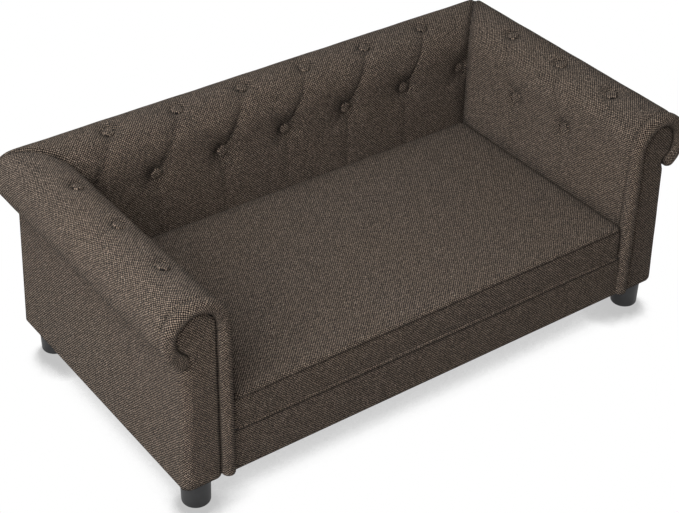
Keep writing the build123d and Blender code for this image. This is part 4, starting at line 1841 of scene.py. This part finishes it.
    def map_weave(self, bm: Mesh, rings: Array, level: Array, normals: list[tuple]) -> None:
        """Lays the weave flat on the top and the base, upright on the band, and over the lip.

        Args:
            bm: the placed cover.
            rings: inset, height, painted shade and ease of each ring.
            level: the ring of each vertex.
            normals: the way each face looked on the cube the cover was made from.
        """
        seam = int(np.argmax(rings[:, 2]))
        weave = bm.loops.layers.uv[WEAVE_MAP]
        spots = positions(list(bm.verts))
        middle = (self.zip_low.z + self.zip_high.z) / 2
        wall = np.sign(middle - spots[:, 2]) * self.channel(spots[:, 0], spots[:, 2])
        lengths = {factor: self.lengths(rings, factor) for factor in (self.side_ease, self.front_ease)}
        for face, normal in zip(bm.faces, normals):
            axis = max(range(3), key=lambda i: abs(normal[i]))
            side = math.copysign(1.0, normal[axis])
            inset, climb = lengths[self.front_ease if (axis, side) == (1, -1.0) else self.side_ease]
            on_lip = min(level[vert.index] for vert in face.verts) >= seam
            for loop in face.loops:
                ring, place = level[loop.vert.index], loop.vert.co
                flat = [place.x, place.y]
                if axis != 2 and on_lip:
                    flat[axis] += side * (climb[-1] - climb[ring] - inset[-1] + inset[ring])
                elif axis != 2:
                    flat = [place[1 - axis], climb[ring]]
                    if axis == 1 and side > 0:
                        flat[1] += wall[loop.vert.index]
                loop[weave].uv = flat

    @staticmethod
    def lengths(rings: Array, factor: float) -> tuple[Array, Array]:
        """The rings of one side, eased by a factor.

        Args:
            rings: inset, height, painted shade and ease of each ring.
            factor: how much rounder the side's lip is.

        Returns:
            Inset of each ring, and length of the cloth from the base up to it.
        """
        inset = rings[:, 0] * (1 + rings[:, 3] * (factor - 1))
        steps = np.hypot(np.diff(inset), np.diff(rings[:, 1]))
        return inset, np.concatenate([[0.0], np.cumsum(steps)])

    def in_plan(self, unit: Array, inset: Array, ease: Array) -> list[Array]:
        """X and Y of the cover's vertices, with its rounded corners and drawn-in sides.

        Args:
            unit: their places on a cube that reaches from -1 to 1.
            inset: how far each ring is drawn in.
            ease: how far the side's own ease counts.

        Returns:
            X and Y, from the cushion's middle.
        """
        plan, steps, eased = [], [], []
        for axis, factor in ((0, self.side_ease), (1, self.front_ease)):
            rear = (axis == 1) & (unit[:, 1] > 0)
            eased.append(inset * (1 + ease * (np.where(rear, self.side_ease, factor) - 1)))
        for axis, half in enumerate(self.halves):
            core, reach = half - self.corner_round, half - eased[axis]
            share = 1 - self.corner_cells_share * (self.halves[0] / half)
            way = np.abs(unit[:, axis])
            past = core + (reach - core) * (way - share) / (1 - share)
            out = np.where(way < share, core * way / share, past)
            plan.append(np.minimum(out, core))
            steps.append(np.clip((out - core) / (reach - core), 0.0, 1.0))
        widest, length = np.maximum(*steps), np.hypot(*steps)
        drawn = np.where(length > TINY, widest / np.maximum(length, TINY), 1.0)
        place = []
        for axis in range(2):
            out = plan[axis] + steps[axis] * drawn * (self.corner_round - eased[axis])
            place.append(np.sign(unit[:, axis]) * out)
        shares = [np.abs(way / half) for way, half in zip(place, self.halves)]
        for axis, other in ((0, 1), (1, 0)):
            pull = np.clip(1 - shares[other] ** 2, 0, 1) * shares[axis] ** self.side_power
            place[axis] = place[axis] - np.sign(place[axis]) * self.side_pull * pull
        return place

    def place(self, unit: Array, ring: Array, top: Array) -> tuple[Array, Array]:
        """Places the cover's vertices.

        Args:
            unit: their places on a cube that reaches from -1 to 1.
            ring: inset, height, painted shade and ease of each vertex's ring.
            top: whether each vertex is on the top.

        Returns:
            World places and painted shade shares.
        """
        inset, z, crease, ease = ring.T
        x, y = self.in_plan(unit, inset, ease)
        rise = self.peak - self.crown_gap - z.max()
        spread = [np.abs(way) / np.abs(way[top]).max() for way in (x, y)]
        full = [np.clip(1 - share**self.crown_power, 0, 1) for share in spread]
        crown = (full[0] * full[1]) ** self.crown_fullness
        inside = np.clip(1 - np.abs(2 * unit[:, 2] ** 2 - 0.2), 0, 1)
        wave = ripple(x + y, z, self.band_uneven) * inside
        on_side = np.abs(unit) > 0.999
        rear = on_side[:, 1] & (unit[:, 1] > 0)
        x = x + np.sign(x) * wave * on_side[:, 0]
        y = y + np.sign(y) * wave * (on_side[:, 1] & ~rear)
        y = y - rear * self.channel(x, z)
        z = z + np.where(top, crown * (rise + ripple(x, y, self.top_uneven)), 0.0)
        # Painted shade on the top near its side and back edges.
        edge = np.minimum(self.halves[0] - np.abs(x), self.halves[1] - y)
        shaded = self.side_shade * fall_off(edge, self.side_reach) * (z > self.seam)
        return np.column_stack([x, y + self.piping_centre.y, z]), np.maximum(crease, shaded)

    def channel(self, x: Array, z: Array) -> Array:
        """Depth of the zip's channel in the rear band.

        Args:
            x: places along the band.
            z: heights.

        Returns:
            The depth at each place.
        """
        low, high = self.zip_low, self.zip_high
        inside = np.minimum(z - low.z, high.z - z) / self.channel_edge
        ends = np.minimum(x - low.x, high.x - x) / self.channel_end + 1
        return self.channel_depth * smooth_share(inside) * smooth_share(ends)

    def piping(self) -> Piece:
        """The covered cord round the bottom seam.

        Returns:
            The cord.
        """
        radius = self.piping_radius
        core_x, core_y = (half - self.corner_round for half in self.halves)
        stations = []
        for quarter, (sx, sy) in enumerate(((1, -1), (1, 1), (-1, 1), (-1, -1))):
            place = Matrix.Translation(self.piping_centre + Vector((sx * core_x, sy * core_y, 0)))
            for i in range(self.piping_turns + 1):
                turn = math.pi / 2 * (quarter - 1 + i / self.piping_turns)
                arm = Matrix.Translation((self.corner_round - radius, 0, 0))
                arm = Matrix.Rotation(turn, 4, "Z") @ arm @ Matrix.Rotation(math.pi / 2, 4, "X")
                stations.append(place @ arm)
        turns = [math.tau * i / self.piping_sides for i in range(self.piping_sides)]
        corners = [Vector((radius * math.cos(turn), radius * math.sin(turn), 0)) for turn in turns]
        bm = new_cloth()
        swept(bm, corners, stations, closed=True)
        wrap_weave(bm)
        # A painted highlight on the piping: a painted shading share below 0.
        set_crease(bm, bm.verts, [self.piping_lift] * len(bm.verts))
        return finished(bm, "piping_cord")


@dataclass
class ZipFastener:
    """The zip in the rear band of the cushion: its tape, its coil and its slider."""

    wardrobe: Wardrobe
    tape_cells: tuple = (200, 12)
    tape_sag: float = 0.25 * MM
    tape_middle: float = 0.12
    tape_uneven: float = 0.1 * MM
    tape_share: float = 0.6
    tooth: tuple = (1.2 * MM, 0.9 * MM, 3.6 * MM)
    tooth_pitch: float = 2.0 * MM
    tooth_stagger: float = 0.5 * MM
    tooth_lift: float = 0.3 * MM
    tooth_edge: float = 0.25 * MM
    nose_share: float = 0.6
    shield_share: float = 0.72
    shield_edge: float = 0.9 * MM
    bridge_shares: tuple = (0.5, 0.28, 0.22)
    bridge_lift: float = 0.36
    bridge_edge: float = 0.25 * MM
    tab_length: float = 13 * MM
    tab_width: float = 4.6 * MM
    tab_thickness: float = 0.7 * MM
    tab_edge: float = 0.15 * MM
    tab_segments: int = 28
    tab_lap: float = 0.45
    tab_lift: float = 0.9 * MM

    def build(self) -> None:
        """Makes and dresses the zip's pieces."""
        self.low, self.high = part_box("zipper_tape")
        self.slider_low, self.slider_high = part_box("zipper_slider")
        tape = shell("zip_tape_ribbed", *self.tape_cells, self.place_tape)
        self.wardrobe.dress(tape, Slot.TAPE, Body.CUSHION, "zipper_tape")
        self.wardrobe.dress(self.coil(), Slot.TAPE, Body.CUSHION)
        self.wardrobe.dress(self.slider(), Slot.ZIP, Body.SLIDER, "zipper_slider")
        self.wardrobe.dress(self.tab(), Slot.ZIP, Body.SLIDER)

    def place_tape(self, along: Array, up: Array, layer: int) -> Placed:
        """Places the tape's vertices: flat, with its two halves pulled to the middle.

        Args:
            along: shares from left to right.
            up: shares of the height.
            layer: 0 for the face, 1 for the back.

        Returns:
            World places, weave places and painted shade shares.
        """
        x = self.low.x + (self.high.x - self.low.x) * along
        z = self.low.z + (self.high.z - self.low.z) * up
        middle = fall_off(up - 0.5, self.tape_middle)
        y = self.high.y - self.tape_sag * (1 - middle) + ripple(x, z, self.tape_uneven)
        y = y - layer * self.tape_share * (self.high.y - self.low.y)
        return placed(x, y, z, x, z, 0.5 * middle)

    def coil(self) -> Piece:
        """The row of teeth along the middle of the tape.

        Returns:
            The teeth as one piece.
        """
        bm = bmesh.new()
        bmesh.ops.create_cube(bm, size=1.0)
        bmesh.ops.scale(bm, vec=self.tooth, verts=bm.verts)
        soften(bm, bm.edges[:], self.tooth_edge, 1)
        middle = (self.low + self.high) / 2
        start = (self.low.x + self.tooth_pitch / 2, self.high.y + self.tooth_lift, middle.z)
        bmesh.ops.translate(bm, vec=start, verts=bm.verts)
        first = bm.verts[:] + bm.edges[:] + bm.faces[:]
        for i in range(1, int((self.high.x - self.low.x) / self.tooth_pitch)):
            copied = verts_of(bmesh.ops.duplicate(bm, geom=first)["geom"])
            step = (i * self.tooth_pitch, 0, self.tooth_stagger * (-1) ** i)
            bmesh.ops.translate(bm, vec=step, verts=copied)
        return finished(bm, "zip_coil_teeth")

    def slider(self) -> Piece:
        """The slider's shield, narrowed at its nose, with the bridge that holds the pull.

        Returns:
            The slider.
        """
        bm = bmesh.new()
        size = self.slider_high - self.slider_low
        bmesh.ops.create_cube(bm, size=1.0)
        for vert in bm.verts:
            narrow = self.nose_share if vert.co.x > 0 else 1.0
            thick = self.shield_share if vert.co.y > 0 else 1.0
            vert.co = (vert.co.x * size.x, vert.co.y * size.y * thick, vert.co.z * size.z * narrow)
        soften(bm, bm.edges[:], self.shield_edge, 3)
        bridge = bmesh.ops.create_cube(bm, size=1.0)["verts"]
        bmesh.ops.scale(bm, vec=size * Vector(self.bridge_shares), verts=bridge)
        bmesh.ops.translate(bm, vec=(0, size.y * self.bridge_lift, 0), verts=bridge)
        edges = {edge for vert in bridge for edge in vert.link_edges}
        soften(bm, list(edges), self.bridge_edge, 2)
        bmesh.ops.translate(bm, vec=(self.slider_low + self.slider_high) / 2, verts=bm.verts)
        return finished(bm, "zip_slider_shield")

    def tab(self) -> Piece:
        """The flat pull with rounded ends, lying along the zip.

        Returns:
            The pull.
        """
        bm = bmesh.new()
        segments, radius = self.tab_segments, self.tab_width / 2
        bmesh.ops.create_circle(bm, cap_ends=True, segments=segments, radius=radius)
        for vert in bm.verts:
            if vert.co.x > WELD:
                vert.co.x += self.tab_length - self.tab_width
        made = bmesh.ops.extrude_face_region(bm, geom=bm.faces[:])["geom"]
        bmesh.ops.translate(bm, vec=(0, 0, self.tab_thickness), verts=verts_of(made))
        soften(bm, bm.edges[:], self.tab_edge, 2)
        low, high = self.slider_low, self.slider_high
        start = (low.x - self.tab_lap * self.tab_length, high.y + self.tab_lift, (low.z + high.z) / 2)
        place = Matrix.Translation(start) @ Matrix.Rotation(math.pi / 2, 4, "X")
        bmesh.ops.transform(bm, matrix=place, verts=bm.verts)
        return finished(bm, "zip_pull_tab")


@dataclass
class Leg:
    """A round plastic leg with a soft foot edge and a shallow hollow under its foot."""

    wardrobe: Wardrobe
    node: str
    taper: float = 1 * MM
    foot_round: float = 3 * MM
    foot_cells: int = 6
    hollow_depth: float = 0.8 * MM
    hollow_edge: tuple = (9 * MM, 8 * MM)
    top_edge: tuple = (0.6 * MM, 2 * MM)
    steps: int = 64

    def build(self) -> None:
        """Makes and dresses the leg."""
        low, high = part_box(self.node)
        radius, height = (high.x - low.x) / 2, high.z - low.z
        foot, (inner, outer) = radius - self.taper, self.hollow_edge
        outline = [(0.0, self.hollow_depth), (foot - inner, self.hollow_depth), (foot - outer, 0.0)]
        for i in range(self.foot_cells + 1):
            turn = math.pi / 2 * i / self.foot_cells
            across, up = 1 - math.sin(turn), 1 - math.cos(turn)
            outline.append((foot - self.foot_round * across, self.foot_round * up))
        slant, drop = self.top_edge
        outline += [(radius, height - drop), (radius - slant, height), (0.0, height)]
        bm = bmesh.new()
        turned(bm, outline, self.steps)
        bmesh.ops.remove_doubles(bm, verts=bm.verts, dist=WELD)
        centre = ((low.x + high.x) / 2, (low.y + high.y) / 2, low.z)
        bmesh.ops.translate(bm, vec=centre, verts=bm.verts)
        piece = finished(bm, self.node + "_turned")
        self.wardrobe.dress(piece, Slot.PLASTIC, Body.SOFA, self.node)


@dataclass
class Frame:
    """The timber, foam and fixings that the covers hide."""

    wardrobe: Wardrobe

    def build(self) -> None:
        """Gives every carried-over node its finish."""
        kinds = {
            Slot.STEEL: ("leg_studs", "leg_tee_nuts", "frame_bolts"),
            Slot.PLYWOOD: ("board",),
            Slot.PINE: ("corner_blocks", "_rail", "deck_bearers", "back_posts"),
            Slot.FOAM: ("foam", "front_rail_pad"),
        }
        for name, node in sorted(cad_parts.items()):
            if node.hide_render:
                continue
            for slot, words in kinds.items():
                if any(word in name for word in words):
                    self.wardrobe.finish_node(name, slot)
                    break


@dataclass
class Studio:
    """The camera, the lamps, the white room and its floor."""

    eye: tuple = (-1.3856, -1.8749, 1.7833)
    azimuth: float = -36.3167
    pitch: float = 35.2732
    roll: float = 1.0148
    lens: float = 88.54
    clip_end: float = 100.0
    floor_size: float = 60.0
    floor_colour: Colour = (0.25, 0.25, 0.25, 1.0)
    lamp_way: tuple = (-0.63, -0.33, 0.70)
    lamp_distance: float = 3.0
    lamp_radius: float = 1.4
    lamp_power: float = 123.0
    sky_level: float = 0.3
    shadow_lean: tuple = (0.3, 0.6, 0.75)
    shadow_reach: float = 0.075
    shadow_range: tuple = (0.585, 0.73)
    shadow_level: float = 0.53
    shadow_samples: int = 16

    def camera(self) -> None:
        """Places the camera where the picture was taken."""
        turn, tilt, roll = (math.radians(v) for v in (self.azimuth, self.pitch, self.roll))
        flat = math.cos(tilt)
        back = Vector((math.sin(turn) * flat, -math.cos(turn) * flat, math.sin(tilt)))
        right = (-back).cross(Vector((0, 0, 1))).normalized()
        up = right.cross(-back)
        rolled_right = math.cos(roll) * right + math.sin(roll) * up
        rolled_up = -math.sin(roll) * right + math.cos(roll) * up
        data = bpy.data.cameras.new("camera")
        data.lens = self.lens
        data.clip_end = self.clip_end
        camera = bpy.data.objects.new("camera", data)
        turn_matrix = Matrix((rolled_right, rolled_up, back)).transposed().to_4x4()
        camera.matrix_world = Matrix.Translation(self.eye) @ turn_matrix
        bpy.context.scene.collection.objects.link(camera)
        bpy.context.scene.camera = camera

    def lamp(self) -> None:
        """A broad soft light from above the left front corner."""
        data = bpy.data.lights.new("key_lamp", "AREA")
        data.shape = "DISK"
        data.size = 2 * self.lamp_radius
        data.energy = self.lamp_power
        lamp = bpy.data.objects.new("key_lamp", data)
        way = Vector(self.lamp_way).normalized()
        lamp.location = way * self.lamp_distance
        lamp.rotation_mode = "QUATERNION"
        lamp.rotation_quaternion = way.to_track_quat("Z", "Y")
        bpy.context.scene.collection.objects.link(lamp)

    def floor(self) -> None:
        """A white floor with a soft shadow where the sofa stands over it."""
        bm = bmesh.new()
        bmesh.ops.create_grid(bm, x_segments=1, y_segments=1, size=self.floor_size / 2)
        floor = finished(bm, "floor", outward=False)
        board = Board.of_material("white_floor")
        lean = board.add("CombineXYZ", dict(enumerate(self.shadow_lean))).outputs[0]
        lean = board.add("VectorMath", {0: lean}, operation="NORMALIZE").outputs[0]
        reach = {"Distance": self.shadow_reach, "Normal": lean}
        open_share = board.add("AmbientOcclusion", reach, samples=self.shadow_samples).outputs["AO"]
        low, high = self.shadow_range
        ends = {0: open_share, 1: low, 2: high, 3: self.shadow_level, 4: 1.0}
        level = board.add("MapRange", ends, interpolation_type="SMOOTHSTEP").outputs[0]
        seen = board.add("Emission", {"Color": board.grey(level), "Strength": 1.0})
        bounce = board.add("BsdfDiffuse", {"Color": self.floor_colour})
        floor.data.materials.append(board.close(board.by_sight(bounce, seen)))

    def world(self) -> None:
        """A plain white sky, seen as pure white and lighting at a plain level."""
        board = Board(bpy.data.worlds.new("white_room"), "OutputWorld")
        lit, seen = (
            board.add("Background", {0: (1, 1, 1, 1), 1: level}) for level in (self.sky_level, 1.0)
        )
        bpy.context.scene.world = board.close(board.by_sight(lit, seen))

    def build(self) -> None:
        """Sets up the whole studio."""
        bpy.context.scene.view_settings.view_transform = "Standard"
        self.camera()
        self.lamp()
        self.world()
        self.floor()
        log.info("studio: camera, lamp, sky and floor")


def main() -> None:
    """Builds the sofa bed, piece by piece."""
    logging.basicConfig(level=logging.INFO, format="%(name)s %(message)s")
    Studio().build()
    wardrobe = Wardrobe()
    section = WallSection.from_frame()
    QuiltedCover(section, wardrobe, "back_cover", "back_buttons").build()
    for side in Side:
        names = (f"arm_cover_{side.word}", f"arm_buttons_{side.word}")
        QuiltedCover(section, wardrobe, *names, side).build()
        ArmFront(section, wardrobe, side).build()
    FlatCovers(section, wardrobe).build()
    SeatCushion(wardrobe).build()
    ZipFastener(wardrobe).build()
    for name in sorted(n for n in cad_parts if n.startswith(("leg_front", "leg_rear"))):
        Leg(wardrobe, name).build()
    Frame(wardrobe).build()


if __name__ == "__main__":
    main()
